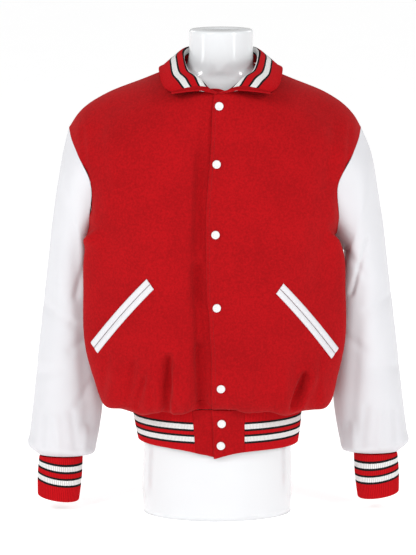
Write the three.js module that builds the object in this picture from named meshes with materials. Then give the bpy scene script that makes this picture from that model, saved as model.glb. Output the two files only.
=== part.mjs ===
// A varsity jacket on a limbless dress form: melton body, smooth sleeves, rib-knit collar, cuffs and waistband.
// Millimetres, +Z up. The front faces -Y, the wearer's left is +X, and the origin is the middle of the form's base.
import * as THREE from "three";

// Driving sizes
const meltonThick = 2.2;
const sleeveThick = 1.6;
const ribThick = 3.2;
const seamGap = 0.56;
const ribPitch = 2.9;
const ribDeep = 0.7;
const bandTop = 206.4;
const bandBottom = 129;
const snapRadius = 7.5;
const weltLong = 160;
const weltWide = 10.4;
const weltThick = 2;
const slitWide = 0.7;
const underDeep = 3.2; // how far the under front lies behind the over front
const underReach = 24; // how far it runs past the centre line
const neckRadius = 57;

const melton = new THREE.MeshStandardMaterial({ name: "melton", color: 0xb5141b, roughness: 0.95 });
const ribKnit = new THREE.MeshStandardMaterial({ name: "rib_knit", color: 0xb0161c, roughness: 0.9 });
const smoothWhite = new THREE.MeshStandardMaterial({ name: "sleeve_white", color: 0xf1f2f4, roughness: 0.55 });
const capWhite = new THREE.MeshStandardMaterial({ name: "snap_white", color: 0xf6f6f6, roughness: 0.3 });
const glossWhite = new THREE.MeshStandardMaterial({ name: "form_white", color: 0xf4f4f4, roughness: 0.2 });

// The front panel, half of it: a row for each section from the waistband seam up to the shoulder seam. Its columns are
// points at the centre line or neckline, mid panel, the fold-back before the arm, behind it, and the side seam or
// armhole. steps is how many bands of cloth lie between a row and the next.
const frontRows = [
  { steps: 1, inner: [0, -125, 207], mid: [84, -106, 207], fore: [130, -68, 207], tuck: [148, -36, 207], edge: [155, -4, 207] },
  { steps: 1, inner: [0, -128.5, 209.5], mid: [88, -117, 199], fore: [139, -79, 194], tuck: [160, -42, 190], edge: [167, -2, 190] },
  { steps: 1, inner: [0, -135, 214], mid: [97, -129, 203], fore: [166, -88, 199], tuck: [181, -44, 197], edge: [182, 6, 198] },
  { steps: 1, inner: [0, -142, 228], mid: [107, -137, 220], fore: [202, -72, 213], tuck: [197, -28, 213], edge: [191, 18, 213] },
  { steps: 2, inner: [0, -147, 256], mid: [114, -139, 255], fore: [217, -66, 252], tuck: [201, -20, 251], edge: [196, 28, 250] },
  { steps: 2, inner: [0, -147, 322], mid: [122, -138, 321], fore: [233, -63, 320], tuck: [204, -18, 320], edge: [197, 30, 320] },
  { steps: 2, inner: [0, -145, 412], mid: [123, -137, 411], fore: [234, -63, 410], tuck: [205, -18, 410], edge: [197, 28, 410] },
  { steps: 2, inner: [0, -143, 490], mid: [123, -138, 490], fore: [229, -72, 486], tuck: [213, -28, 484], edge: [211, 10, 482] },
  { steps: 2, inner: [0, -140, 556], mid: [118, -138, 552], fore: [190, -114, 548], tuck: [213, -93, 544], edge: [223, -66, 540] },
  { steps: 2, inner: [0, -135, 628], mid: [113, -131, 626], fore: [184, -111, 620], tuck: [206, -97, 616], edge: [221, -78, 611] },
  { steps: 2, inner: [0, -127, 704], mid: [106, -118, 696], fore: [186, -97, 678], tuck: [220, -79, 666], edge: [243, -56, 656] },
  { steps: 1, inner: [0, -114, 771], mid: [104, -93, 746], fore: [188, -70, 714], tuck: [228, -53, 690], edge: [252, -37, 672] },
  { steps: 1, inner: [28, -106, 774], mid: [111, -72, 763], fore: [190, -50, 732], tuck: [232, -37, 707], edge: [257, -22, 683] },
  { steps: 1, inner: [53, -84, 780], mid: [118, -50, 774], fore: [193, -32, 746], tuck: [234, -22, 720], edge: [259, -12, 690] },
  { steps: 1, inner: [71, -44, 795], mid: [125, -26, 782], fore: [195, -14, 755], tuck: [235, -8, 729], edge: [260.5, -3, 695] },
  { steps: 0, inner: [77, 0, 809], mid: [130, 2, 787], fore: [196, 4, 760], tuck: [236, 5, 733], edge: [261, 6, 698] },
];
// The back panel, half of it, with the same columns.
const backRows = [
  { steps: 1, inner: [0, 110, 207], mid: [84, 94, 207], fore: [130, 60, 207], tuck: [148, 30, 207], edge: [155, -4, 207] },
  { steps: 1, inner: [0, 118, 200], mid: [88, 104, 198], fore: [138, 70, 194], tuck: [160, 36, 190], edge: [167, -2, 190] },
  { steps: 1, inner: [0, 126, 204], mid: [96, 114, 202], fore: [156, 82, 199], tuck: [176, 46, 197], edge: [182, 6, 198] },
  { steps: 1, inner: [0, 132, 220], mid: [104, 122, 218], fore: [172, 90, 215], tuck: [188, 56, 214], edge: [191, 18, 213] },
  { steps: 2, inner: [0, 136, 254], mid: [108, 128, 254], fore: [180, 96, 252], tuck: [194, 64, 250], edge: [196, 28, 250] },
  { steps: 2, inner: [0, 138, 322], mid: [112, 131, 321], fore: [184, 100, 320], tuck: [196, 68, 320], edge: [197, 30, 320] },
  { steps: 2, inner: [0, 141, 412], mid: [114, 135, 411], fore: [186, 104, 410], tuck: [197, 68, 410], edge: [197, 28, 410] },
  { steps: 2, inner: [0, 144, 490], mid: [118, 139, 490], fore: [192, 110, 486], tuck: [206, 62, 484], edge: [211, 10, 482] },
  { steps: 2, inner: [0, 147, 556], mid: [118, 143, 552], fore: [188, 128, 548], tuck: [212, 108, 544], edge: [224, 82, 540] },
  { steps: 2, inner: [0, 148, 626], mid: [116, 143, 622], fore: [186, 128, 618], tuck: [212, 112, 614], edge: [228, 92, 610] },
  { steps: 1, inner: [0, 143, 694], mid: [112, 134, 690], fore: [190, 114, 676], tuck: [226, 94, 664], edge: [246, 72, 654] },
  { steps: 1, inner: [0, 130, 738], mid: [108, 118, 730], fore: [190, 92, 710], tuck: [230, 70, 690], edge: [254, 48, 674] },
  { steps: 1, inner: [0, 104, 784], mid: [108, 94, 762], fore: [191, 68, 735], tuck: [233, 50, 708], edge: [257, 34, 684] },
  { steps: 2, inner: [0, 74, 814], mid: [112, 62, 779], fore: [192, 44, 749], tuck: [234, 34, 720], edge: [259, 22, 691] },
  { steps: 2, inner: [44, 60, 813], mid: [120, 34, 786], fore: [194, 24, 757], tuck: [235, 18, 729], edge: [260.5, 13, 695] },
  { steps: 0, inner: [77, 0, 809], mid: [130, 2, 787], fore: [196, 4, 760], tuck: [236, 5, 733], edge: [261, 6, 698] },
];
const blouseRow = 3; // the row above the cloth's overhang on the waistband
const underarmRow = 7; // the row where the side seam ends and the armhole begins
const frontNeckRow = 11; // the row where the front edge ends and the neckline begins
const backNeckRow = 13;
const acrossSteps = [4, 4, 2, 2]; // bands between the five columns of points

// The sleeve: a row for each section, with its outer and inner points seen from the front, its middle and half depth.
const sleeveRows = [
  { steps: 1, outer: [277, 650], inner: [227, 470], midY: 10, half: 83 },
  { steps: 1, outer: [288, 588], inner: [222, 448], midY: 14, half: 77 },
  { steps: 2, outer: [301, 484], inner: [212, 408], midY: 22, half: 71 },
  { steps: 2, outer: [313, 384], inner: [207, 345], midY: 25, half: 68 },
  { steps: 2, outer: [324, 284], inner: [204, 268], midY: 26, half: 62 },
  { steps: 1, outer: [333, 196], inner: [208, 184], midY: 24, half: 54 },
  { steps: 1, outer: [340, 138], inner: [218, 122], midY: 19, half: 46 },
  { steps: 1, outer: [343, 118], inner: [224, 102], midY: 15, half: 42 },
  { steps: 0, outer: [322.5, 99.5], inner: [243.5, 98], midY: 11, half: 25.5 },
];
const cuffTop = { x: 283, y: 11, z: 97.6, halfWide: 39.5, halfDeep: 25.5 };
const cuffBottom = { x: 288, y: 4, z: 22, halfWide: 37.5, halfDeep: 24 };
const cuffTilt = { outward: 5, front: 5 }; // how far the mouth rises to the outside and dips at the front
// The wearer's left sleeve hangs a little higher and further out.
const sleeveShift = { right: [0, 0], left: [5, 6] };

// The collar, half of it, from its front end to the centre back: the neckline seam, the roll and the outer edge.
const collarRows = [
  { steps: 3, seam: [1, -114.4, 771.2], stand: [20, -121.5, 778], roll: [40, -122, 778], leaf: [66, -121.5, 775], edge: [86, -118.5, 772] },
  { steps: 4, seam: [26, -106.6, 775.2], stand: [32, -110, 792], roll: [44, -107, 798], leaf: [74, -104, 790], edge: [96, -98, 777] },
  { steps: 4, seam: [54, -79, 783.2], stand: [53, -77, 799], roll: [58, -73, 807], leaf: [84, -68, 800], edge: [105, -62, 788] },
  { steps: 4, seam: [72, -34, 799.2], stand: [64, -31, 816], roll: [67, -28, 824], leaf: [88, -26, 812], edge: [108, -25, 798] },
  { steps: 4, seam: [73, 12, 811.1], stand: [63.5, 14, 826], roll: [66, 18, 834.5], leaf: [85, 20, 822], edge: [107, 22, 803.5] },
  { steps: 4, seam: [52, 49.6, 813.2], stand: [48.5, 50, 829], roll: [52.5, 54, 837.5], leaf: [70, 66, 825], edge: [79, 76, 805] },
  { steps: 0, seam: [0, 71.4, 815.9], stand: [0, 68, 830], roll: [0, 73, 839], leaf: [0, 91, 828], edge: [0, 104, 806] },
];
const collarAcross = 6;
const collarShift = { seam: 2, rest: 6.5 }; // the neck stands a little towards the wearer's left

// The whole jacket's sideways drift on the form, by height
const swayRows = [[120, 2.5], [300, -4], [480, -5], [700, -4], [800, 2]];
// The over front's edge, seen from the front, by height
const placketRows = [[120, -9], [302, -9.5], [361, -13], [420, -19], [536, -20], [727, -9.5], [775, -6]];

// Soft folds: where they run as seen from the front, their half width, and their height, below 0 for a trough
const frontFolds = {
  right: [
    { from: [-230, 612], to: [-236, 700], half: 15, high: 4 },
    { from: [-213, 560], to: [-222, 680], half: 15, high: -4 },
    { from: [-28, 700], to: [-34, 420], half: 14, high: -4 },
    { from: [-20, 380], to: [-26, 225], half: 14, high: -3 },
    { from: [-196, 205], to: [-180, 262], half: 14, high: 5 },
    { from: [-164, 204], to: [-152, 282], half: 12, high: -4 },
    { from: [-132, 204], to: [-124, 270], half: 12, high: 4 },
    { from: [-98, 204], to: [-90, 290], half: 14, high: -4 },
    { from: [-62, 204], to: [-60, 290], half: 14, high: 4 },
  ],
  left: [
    { from: [226, 620], to: [236, 700], half: 15, high: 5 },
    { from: [186, 440], to: [196, 640], half: 24, high: -6 },
    { from: [190, 206], to: [176, 262], half: 14, high: 5 },
    { from: [156, 204], to: [144, 284], half: 12, high: -5 },
    { from: [124, 204], to: [116, 270], half: 13, high: 4 },
    { from: [90, 204], to: [84, 300], half: 14, high: -4 },
    { from: [52, 204], to: [52, 280], half: 14, high: 3 },
  ],
};
const backFolds = [
  { from: [-170, 560], to: [-178, 700], half: 20, high: -5 },
  { from: [172, 540], to: [180, 690], half: 20, high: -5 },
  { from: [-150, 204], to: [-132, 330], half: 15, high: 5 },
  { from: [-110, 204], to: [-100, 300], half: 14, high: -4 },
  { from: [-66, 204], to: [-60, 320], half: 15, high: 4 },
  { from: [-22, 204], to: [-20, 290], half: 15, high: -4 },
  { from: [24, 204], to: [20, 340], half: 15, high: 4 },
  { from: [70, 204], to: [62, 300], half: 14, high: -4 },
  { from: [114, 204], to: [100, 310], half: 15, high: 5 },
  { from: [152, 204], to: [136, 290], half: 14, high: -4 },
];

// The form: a row for each height, with its half width, half depth and the middle of the section
const formRows = [
  { z: 0, wide: 134, deep: 100, y: -6, x: 0 },
  { z: 60, wide: 136, deep: 102, y: -7, x: 0 },
  { z: 130, wide: 133, deep: 101, y: -7, x: 1 },
  { z: 205, wide: 129, deep: 98, y: -7, x: 1 },
  { z: 280, wide: 132, deep: 97, y: -7, x: 0 },
  { z: 360, wide: 148, deep: 104, y: -8, x: -2 },
  { z: 450, wide: 168, deep: 113, y: -8, x: -4 },
  { z: 530, wide: 182, deep: 116, y: -5, x: -4 },
  { z: 600, wide: 195, deep: 112, y: -1, x: -4 },
  { z: 660, wide: 207, deep: 104, y: 2, x: -4 },
  { z: 700, wide: 213, deep: 92, y: 4, x: -4 },
  { z: 724, wide: 214, deep: 80, y: 5, x: -3.5 },
  { z: 740, wide: 209, deep: 71, y: 5, x: -2 },
  { z: 751.7, wide: 200, deep: 66, y: 5, x: -1.4 },
  { z: 765.7, wide: 173, deep: 62, y: 5, x: 0 },
  { z: 779.7, wide: 137, deep: 56, y: 4, x: 1 },
  { z: 792.7, wide: 96, deep: 51, y: 4, x: 2.5 },
  { z: 805.7, wide: 63, deep: 52.5, y: 4, x: 5 },
  { z: 826, wide: 57.5, deep: 55, y: 4, x: 7 },
  { z: 850, wide: neckRadius, deep: 55, y: 4, x: 7 },
  { z: 870, wide: neckRadius, deep: 55, y: 4, x: 7 },
  { z: 872.6, wide: 55.5, deep: 53.5, y: 4, x: 7 },
];
const formAround = 24;

const snaps = [
  { x: 3.4, z: 749 },
  { x: -1.3, z: 648 },
  { x: -3.2, z: 524 },
  { x: -0.9, z: 394 },
  { x: 6.7, z: 249 },
  { x: 8, z: 181.5 },
  { x: 6.7, z: 141 },
];
// The pocket slits' inner and outer ends, seen from the front, on the wearer's right and left
const pocketEnds = {
  right: { inner: [113, 436], outer: [216, 311] },
  left: { inner: [115, 428], outer: [210, 307] },
};
const weltSlant = 0.28; // how far the welts' ends slant

const point = (xyz) => new THREE.Vector3(...xyz);
const lerp = THREE.MathUtils.lerp;

// A value read off a short table of [height, value] rows
function byHeight(table, z) {
  const last = table.length - 1;
  if (z <= table[0][0]) return table[0][1];
  if (z >= table[last][0]) return table[last][1];
  const next = table.findIndex(([height]) => height > z);
  const [lowZ, low] = table[next - 1];
  const [highZ, high] = table[next];
  return lerp(low, high, THREE.MathUtils.smoothstep(z, lowZ, highZ));
}
const sway = (z) => byHeight(swayRows, z);

// How high a fold stands at a place seen from the front or back
function foldHeight(folds, x, z) {
  return folds.reduce((sum, { from, to, half, high }) => {
    const long = Math.hypot(to[0] - from[0], to[1] - from[1]);
    const along = ((x - from[0]) * (to[0] - from[0]) + (z - from[1]) * (to[1] - from[1])) / long;
    const across = ((x - from[0]) * (to[1] - from[1]) - (z - from[1]) * (to[0] - from[0])) / long;
    const beyond = Math.max(0, -along, along - long);
    return sum + high * Math.exp(-((across / half) ** 2) - (beyond / (1.3 * half)) ** 2);
  }, 0);
}

// A panel's surface on the wearer's left. u is 0.2 at the inner column of points and 1 at the edge, and runs past the
// centre line below 0.2. v is 0 at the waistband seam and 1 at the shoulder seam.
function panelSurface(rows) {
  const curves = rows.map(({ inner, mid, fore, tuck, edge }) => {
    const before = inner[0] === 0 ? [-mid[0], mid[1], mid[2]] : inner.map((c, k) => 2 * c - mid[k]);
    return new THREE.CatmullRomCurve3([before, inner, mid, fore, tuck, edge].map(point));
  });
  return (u, v) => new THREE.CatmullRomCurve3(curves.map((curve) => curve.getPoint(u))).getPoint(v);
}
const frontSurface = panelSurface(frontRows);
const backSurface = panelSurface(backRows);

function surfaceNormal(surface, u, v, facing) {
  const step = 0.004;
  const alongU = surface(Math.min(u + step, 1), v).sub(surface(u - step, v));
  const alongV = surface(u, Math.min(v + step, 1)).sub(surface(u, Math.max(v - step, 0)));
  return alongU.cross(alongV).normalize().multiplyScalar(facing);
}

// Even steps between the stations of a table
function stepped(counts) {
  const values = [];
  counts.forEach((count, k) => {
    for (let i = 0; i < count; i++) values.push((k + i / count) / counts.length);
  });
  return [...values, 1];
}
const upSteps = (rows) => stepped(rows.slice(0, -1).map(({ steps }) => steps));
const acrossU = stepped(acrossSteps).map((t) => 0.2 + 0.8 * t);

// The u where a panel reaches the given x at height v, near its centre line
function uAtX(surface, x, v) {
  let low = 0.05;
  let high = 0.5;
  for (let i = 0; i < 30; i++) {
    const middle = (low + high) / 2;
    if (surface(middle, v).x < x) low = middle;
    else high = middle;
  }
  return low;
}

const sides = { right: -1, left: 1 };

// The waistband's line: an oval from the front round the wearer's left, with angle 0 at the centre front
const bandOval = { wide: 154.5, front: 124.5, back: 109.5, middleY: -4 };
const bandDraw = 10; // how far the knit draws in towards the hem
function bandPoint(angle, z, depth) {
  const draw = (bandDraw * (bandTop - z)) / (bandTop - bandBottom);
  const front = Math.cos(angle) > 0;
  const deep = (front ? bandOval.front + bandOval.middleY : bandOval.back - bandOval.middleY) - 0.6 * draw;
  const x = (bandOval.wide - draw - depth) * Math.sin(angle);
  const y = bandOval.middleY - (deep - depth) * Math.cos(angle);
  return point([x + sway(z), y, z]);
}

// The panels' lowest row follows the waistband, just outside it, or further in by a depth.
function onBandSeam(p, depth) {
  const deep = p.y < bandOval.middleY ? bandOval.front + bandOval.middleY : bandOval.back - bandOval.middleY;
  const angle = Math.atan2(p.x / bandOval.wide, (bandOval.middleY - p.y) / deep);
  const seam = bandPoint(angle, bandTop, depth - 0.5);
  return new THREE.Vector3(seam.x - sway(bandTop), seam.y, p.z);
}

// A point of a front at its own u and v, with its folds, pushed in where it lies under the other front
function frontPoint(side, u, v) {
  const sign = sides[side];
  const flat = frontSurface(u, v);
  const x = sign * flat.x + sway(flat.z);
  const past = x - byHeight(placketRows, flat.z);
  const under = side === "right" ? underDeep * THREE.MathUtils.smoothstep(past, -28, -10) : 0;
  const p = v === 0 ? onBandSeam(flat, under) : flat;
  if (v > 0) {
    const n = surfaceNormal(frontSurface, u, v, 1);
    p.addScaledVector(n, foldHeight(frontFolds[side], x, p.z) - under);
  }
  return new THREE.Vector3(sign * p.x + sway(p.z), p.y, p.z);
}

function backPoint(sign, u, v) {
  const p = v === 0 ? onBandSeam(backSurface(u, v), 0) : backSurface(u, v);
  const n = surfaceNormal(backSurface, u, v, -1);
  if (v > 0) p.addScaledVector(n, foldHeight(backFolds, sign * p.x, p.z));
  if (u === 0.2 && v <= backNeckRow / (backRows.length - 1)) p.x = 0;
  return new THREE.Vector3(sign * p.x + sway(p.z), p.y, p.z);
}

// Quads of a grid of points, given as rows, turned to face outwards
function gridCells(rows, columns, turned) {
  const cells = [];
  for (let r = 0; r + 1 < rows; r++)
    for (let c = 0; c + 1 < columns; c++) {
      const a = r * columns + c;
      const quad = [a, a + 1, a + columns + 1, a + columns];
      cells.push(turned ? quad.reverse() : quad);
    }
  return cells;
}

const frontUp = upSteps(frontRows);
const backUp = upSteps(backRows);
const underarmV = underarmRow / (frontRows.length - 1);
const columns = acrossU.length;

function frontPiece(side) {
  const neckV = frontNeckRow / (frontRows.length - 1);
  const nextV = (frontNeckRow + 1) / (frontRows.length - 1);
  const points = [];
  for (const v of frontUp) {
    const centre = frontSurface(0.2, Math.min(v, neckV));
    const reach = side === "left" ? byHeight(placketRows, centre.z) - sway(centre.z) : -underReach;
    const edgeU = uAtX(frontSurface, reach, Math.min(v, neckV));
    const start = lerp(edgeU, 0.2, THREE.MathUtils.smoothstep(v, neckV, nextV));
    for (const u of acrossU) points.push(frontPoint(side, start + ((u - 0.2) / 0.8) * (1 - start), v));
  }
  const cells = gridCells(frontUp.length, columns, side === "right");
  return { points, cells, thick: meltonThick };
}
const frontPieces = { right: frontPiece("right"), left: frontPiece("left") };
const edgeOf = (piece, row) => piece.points[row * columns + columns - 1];

// Each half of the back takes the fronts' own points along the side seam and the shoulder seam.
function backHalf(side) {
  const front = frontPieces[side];
  const points = [];
  backUp.forEach((v, row) => {
    acrossU.forEach((u, column) => {
      const atSideSeam = column === columns - 1 && v <= underarmV + 1e-9;
      if (atSideSeam) points.push(edgeOf(front, row).clone());
      else if (v === 1) points.push(front.points[(frontUp.length - 1) * columns + column].clone());
      else points.push(backPoint(sides[side], u, v));
    });
  });
  return { points, cells: gridCells(backUp.length, columns, side === "left") };
}
const backHalves = { right: backHalf("right"), left: backHalf("left") };

const keyOf = (p) => [p.x, p.y, p.z].map((c) => Math.round(c * 50)).join(",");

// Two meshes joined where their points meet
function joined(parts, thick) {
  const places = new Map();
  const points = [];
  const cells = [];
  for (const part of parts) {
    const index = part.points.map((p) => {
      if (!places.has(keyOf(p))) {
        places.set(keyOf(p), points.length);
        points.push(p);
      }
      return places.get(keyOf(p));
    });
    for (const cell of part.cells) cells.push(cell.map((i) => index[i]));
  }
  return { points, cells, thick };
}
const backPiece = joined([backHalves.right, backHalves.left], meltonThick);

// A sleeve starts from the armhole's own points, front then back, and runs through its sections.
function sleevePiece(side) {
  const sign = sides[side];
  const [shiftX, shiftZ] = sleeveShift[side];
  const front = frontUp.map((v, row) => [v, edgeOf(frontPieces[side], row)]).filter(([v]) => v >= underarmV - 1e-9);
  const back = backUp.map((v, row) => [v, edgeOf(backHalves[side], row)]).filter(([v]) => v > underarmV + 1e-9 && v < 1);
  const armhole = [...front.map(([, p]) => p), ...back.reverse().map(([, p]) => p)];
  const top = front.length - 1;
  const lengths = armhole.map((p, i) => p.distanceTo(armhole[(i + 1) % armhole.length]));
  const frontLong = lengths.slice(0, top).reduce((sum, l) => sum + l, 0);
  const backLong = lengths.slice(top).reduce((sum, l) => sum + l, 0);
  let run = 0;
  const angles = armhole.map((_, i) => {
    const angle = i <= top ? Math.PI * (run / frontLong) : Math.PI * (1 + (run - frontLong) / backLong);
    run += lengths[i];
    return angle;
  });
  const lowZ = cuffTop.z;
  const curves = armhole.map((start, i) => {
    const stations = sleeveRows.map(({ outer, inner, midY, half }) => {
      const across = (1 - Math.cos(angles[i])) / 2;
      const x = lerp(inner[0], outer[0], across);
      const z = lerp(inner[1], outer[1], across);
      const share = THREE.MathUtils.clamp((700 - z) / (700 - lowZ), 0, 1);
      return point([sign * (x + share * shiftX), midY - half * Math.sin(angles[i]), z + share * shiftZ]);
    });
    return new THREE.CatmullRomCurve3([start.clone(), ...stations]);
  });
  const along = stepped([2, ...sleeveRows.slice(0, -1).map(({ steps }) => steps)]);
  const around = armhole.length;
  const points = [];
  for (const t of along) for (const curve of curves) points.push(t === 0 ? curve.points[0] : curve.getPoint(t));
  const cells = [];
  for (let r = 0; r + 1 < along.length; r++)
    for (let c = 0; c < around; c++) {
      const next = (c + 1) % around;
      const quad = [r * around + c, r * around + next, (r + 1) * around + next, (r + 1) * around + c];
      cells.push(side === "right" ? quad : quad.reverse());
    }
  return { points, cells, thick: sleeveThick };
}
const sleevePieces = { right: sleevePiece("right"), left: sleevePiece("left") };

// Where pieces meet at a seam they share one normal, so their walls are mitred there.
const sewn = [frontPieces.right, frontPieces.left, backPiece, sleevePieces.right, sleevePieces.left];
const seamNormals = new Map();
for (const { points, cells } of sewn) {
  const own = points.map(() => new THREE.Vector3());
  for (const [a, b, c, d] of cells) {
    const normal = points[c].clone().sub(points[a]).cross(points[d].clone().sub(points[b]));
    for (const i of [a, b, c, d]) own[i].add(normal);
  }
  points.forEach((p, i) => {
    if (!seamNormals.has(keyOf(p))) seamNormals.set(keyOf(p), new THREE.Vector3());
    seamNormals.get(keyOf(p)).add(own[i].normalize());
  });
}

function solidFrom(positions, faces) {
  const geometry = new THREE.BufferGeometry();
  geometry.setAttribute("position", new THREE.Float32BufferAttribute(positions.flatMap((p) => [p.x, p.y, p.z]), 3));
  geometry.setIndex(faces.flat());
  geometry.computeVertexNormals();
  return geometry;
}

// A cloth wall: the points are its outer face, drawn back half a seam gap from every edge.
function clothWall({ points, cells, thick }) {
  const normals = points.map((p) => seamNormals.get(keyOf(p)).clone().normalize());
  const edges = new Map();
  for (const cell of cells)
    cell.forEach((a, k) => {
      const b = cell[(k + 1) % cell.length];
      if (!edges.delete(`${b} ${a}`)) edges.set(`${a} ${b}`, [a, b]);
    });
  const inward = points.map(() => new THREE.Vector3());
  const tangent = points.map(() => new THREE.Vector3());
  const onEdge = new Set();
  for (const [a, b] of edges.values()) {
    const along = points[b].clone().sub(points[a]).normalize();
    for (const i of [a, b]) {
      tangent[i].add(along);
      onEdge.add(i);
    }
  }
  for (const cell of cells) {
    const middle = cell.reduce((sum, i) => sum.add(points[i]), new THREE.Vector3()).divideScalar(cell.length);
    for (const i of cell) inward[i].add(middle.clone().sub(points[i]).normalize());
  }
  const outer = points.map((p, i) => {
    if (!onEdge.has(i)) return p.clone();
    const pull = inward[i].clone();
    pull.addScaledVector(normals[i], -pull.dot(normals[i]));
    const along = tangent[i].clone().addScaledVector(normals[i], -tangent[i].dot(normals[i]));
    const corner = along.length() < 1.6;
    along.normalize();
    if (!corner) pull.addScaledVector(along, -pull.dot(along));
    return p.clone().addScaledVector(pull.normalize(), seamGap * (corner ? 0.75 : 0.5));
  });
  const inner = outer.map((p, i) => p.clone().addScaledVector(normals[i], -thick));
  const count = points.length;
  const faces = [];
  for (const [a, b, c, d] of cells) {
    faces.push([a, b, c], [a, c, d]);
    faces.push([count + a, count + c, count + b], [count + a, count + d, count + c]);
  }
  for (const [a, b] of edges.values()) {
    if (points[a].z < points[b].z) faces.push([count + a, count + b, a], [count + b, b, a]);
    else faces.push([count + a, count + b, b], [count + a, b, a]);
  }
  return solidFrom([...outer, ...inner], faces);
}

// A rib-knit wall. outerAt(t, k) and innerAt(t, k) give its two faces, t along the ribs' row and k across the knit.
// The outer face has a rib and a furrow in turn, and the plain inner face has one cell for every ribsPerCell ribs.
function ribbedWall({ ribs, ribsPerCell, across, closed, outerAt, innerAt }) {
  const fine = 2 * ribsPerCell;
  const cellsRound = Math.round(ribs / ribsPerCell);
  const fineRound = cellsRound * fine;
  const outerCount = closed ? fineRound : fineRound + 1;
  const innerCount = closed ? cellsRound : cellsRound + 1;
  const positions = [];
  for (let k = 0; k <= across; k++)
    for (let i = 0; i < outerCount; i++) positions.push(outerAt(i / fineRound, k / across, i % 2 === 0));
  const innerStart = positions.length;
  for (let k = 0; k <= across; k++)
    for (let m = 0; m < innerCount; m++) positions.push(innerAt(m / cellsRound, k / across));
  const out = (i, k) => k * outerCount + (closed ? i % outerCount : i);
  const inn = (m, k) => innerStart + k * innerCount + (closed ? m % innerCount : m);
  const faces = [];
  for (let k = 0; k < across; k++) {
    for (let i = 0; i < fineRound; i++)
      faces.push([out(i, k), out(i + 1, k), out(i + 1, k + 1)], [out(i, k), out(i + 1, k + 1), out(i, k + 1)]);
    for (let m = 0; m < cellsRound; m++)
      faces.push([inn(m, k), inn(m + 1, k + 1), inn(m + 1, k)], [inn(m, k), inn(m, k + 1), inn(m + 1, k + 1)]);
  }
  for (let m = 0; m < cellsRound; m++) {
    const half = m * fine + fine / 2;
    for (let i = m * fine; i < (m + 1) * fine; i++) {
      const nearest = i < half ? m : m + 1;
      faces.push([inn(nearest, 0), out(i + 1, 0), out(i, 0)]);
      faces.push([inn(nearest, across), out(i, across), out(i + 1, across)]);
    }
    faces.push([inn(m, 0), inn(m + 1, 0), out(half, 0)]);
    faces.push([inn(m + 1, across), inn(m, across), out(half, across)]);
  }
  if (!closed)
    for (let k = 0; k < across; k++) {
      faces.push([inn(0, k), out(0, k), out(0, k + 1)], [inn(0, k), out(0, k + 1), inn(0, k + 1)]);
      const last = [out(fineRound, k), inn(cellsRound, k), inn(cellsRound, k + 1), out(fineRound, k + 1)];
      faces.push([last[0], last[1], last[2]], [last[0], last[2], last[3]]);
    }
  return solidFrom(positions, faces);
}

// Cuffs: flattened tubes, the ribs running down them
function cuffGeometry(side) {
  const sign = sides[side];
  const [shiftX, shiftZ] = sleeveShift[side];
  const section = (t, k, depth) => {
    const angle = 2 * Math.PI * t;
    const wide = lerp(cuffBottom.halfWide, cuffTop.halfWide, k) - depth;
    const deep = lerp(cuffBottom.halfDeep, cuffTop.halfDeep, k) - depth;
    const x = sign * (lerp(cuffBottom.x, cuffTop.x, k) + shiftX) + wide * Math.cos(angle);
    const y = lerp(cuffBottom.y, cuffTop.y, k) + deep * Math.sin(angle);
    const lift = cuffTilt.outward * sign * Math.cos(angle) + cuffTilt.front * Math.sin(angle);
    return point([x, y, lerp(cuffBottom.z, cuffTop.z, k) + shiftZ + (1 - k) * lift]);
  };
  const round = Math.PI * (cuffTop.halfWide + cuffTop.halfDeep);
  const ribsPerCell = 3;
  const ribs = ribsPerCell * Math.round(round / ribPitch / ribsPerCell);
  return ribbedWall({
    ribs, ribsPerCell, across: 1, closed: true,
    outerAt: (t, k, rib) => section(t, k, rib ? 0 : ribDeep),
    innerAt: (t, k) => section(t, k, ribThick),
  });
}

const tabRight = -45; // where the knit begins beside the under tab, and beside the over tab
const tabLeft = 50;
const bandAngle = (x) => Math.asin(x / bandOval.wide);
// The hem dips towards the centre front and lies a little lower on the wearer's left
const hemZ = (x, front) => bandBottom + (front ? 3 - 13 * Math.exp(-((x / 38) ** 2)) : 0) - 0.018 * (x + 100);

function bandGeometry() {
  const start = bandAngle(tabLeft) + 0.003;
  const end = 2 * Math.PI + bandAngle(tabRight) - 0.003;
  const samples = 400;
  const lengths = [0];
  for (let i = 1; i <= samples; i++) {
    const here = bandPoint(lerp(start, end, i / samples), bandTop, 0);
    lengths.push(lengths[i - 1] + here.distanceTo(bandPoint(lerp(start, end, (i - 1) / samples), bandTop, 0)));
  }
  const total = lengths[samples];
  const angleAt = (t) => {
    const i = Math.min(samples - 1, Math.max(0, lengths.findIndex((l) => l > t * total) - 1));
    if (t >= 1) return end;
    return lerp(start, end, (i + (t * total - lengths[i]) / (lengths[i + 1] - lengths[i])) / samples);
  };
  const at = (t, k, depth) => {
    const angle = angleAt(t);
    const x = bandOval.wide * Math.sin(angle);
    return bandPoint(angle, lerp(hemZ(x, Math.cos(angle) > 0), bandTop, k), depth);
  };
  const ribsPerCell = 4;
  return ribbedWall({
    ribs: ribsPerCell * Math.round(total / ribPitch / ribsPerCell), ribsPerCell, across: 1, closed: false,
    outerAt: (t, k, rib) => at(t, k, rib ? 0 : ribDeep),
    innerAt: (t, k) => at(t, k, ribThick),
  });
}

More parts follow.
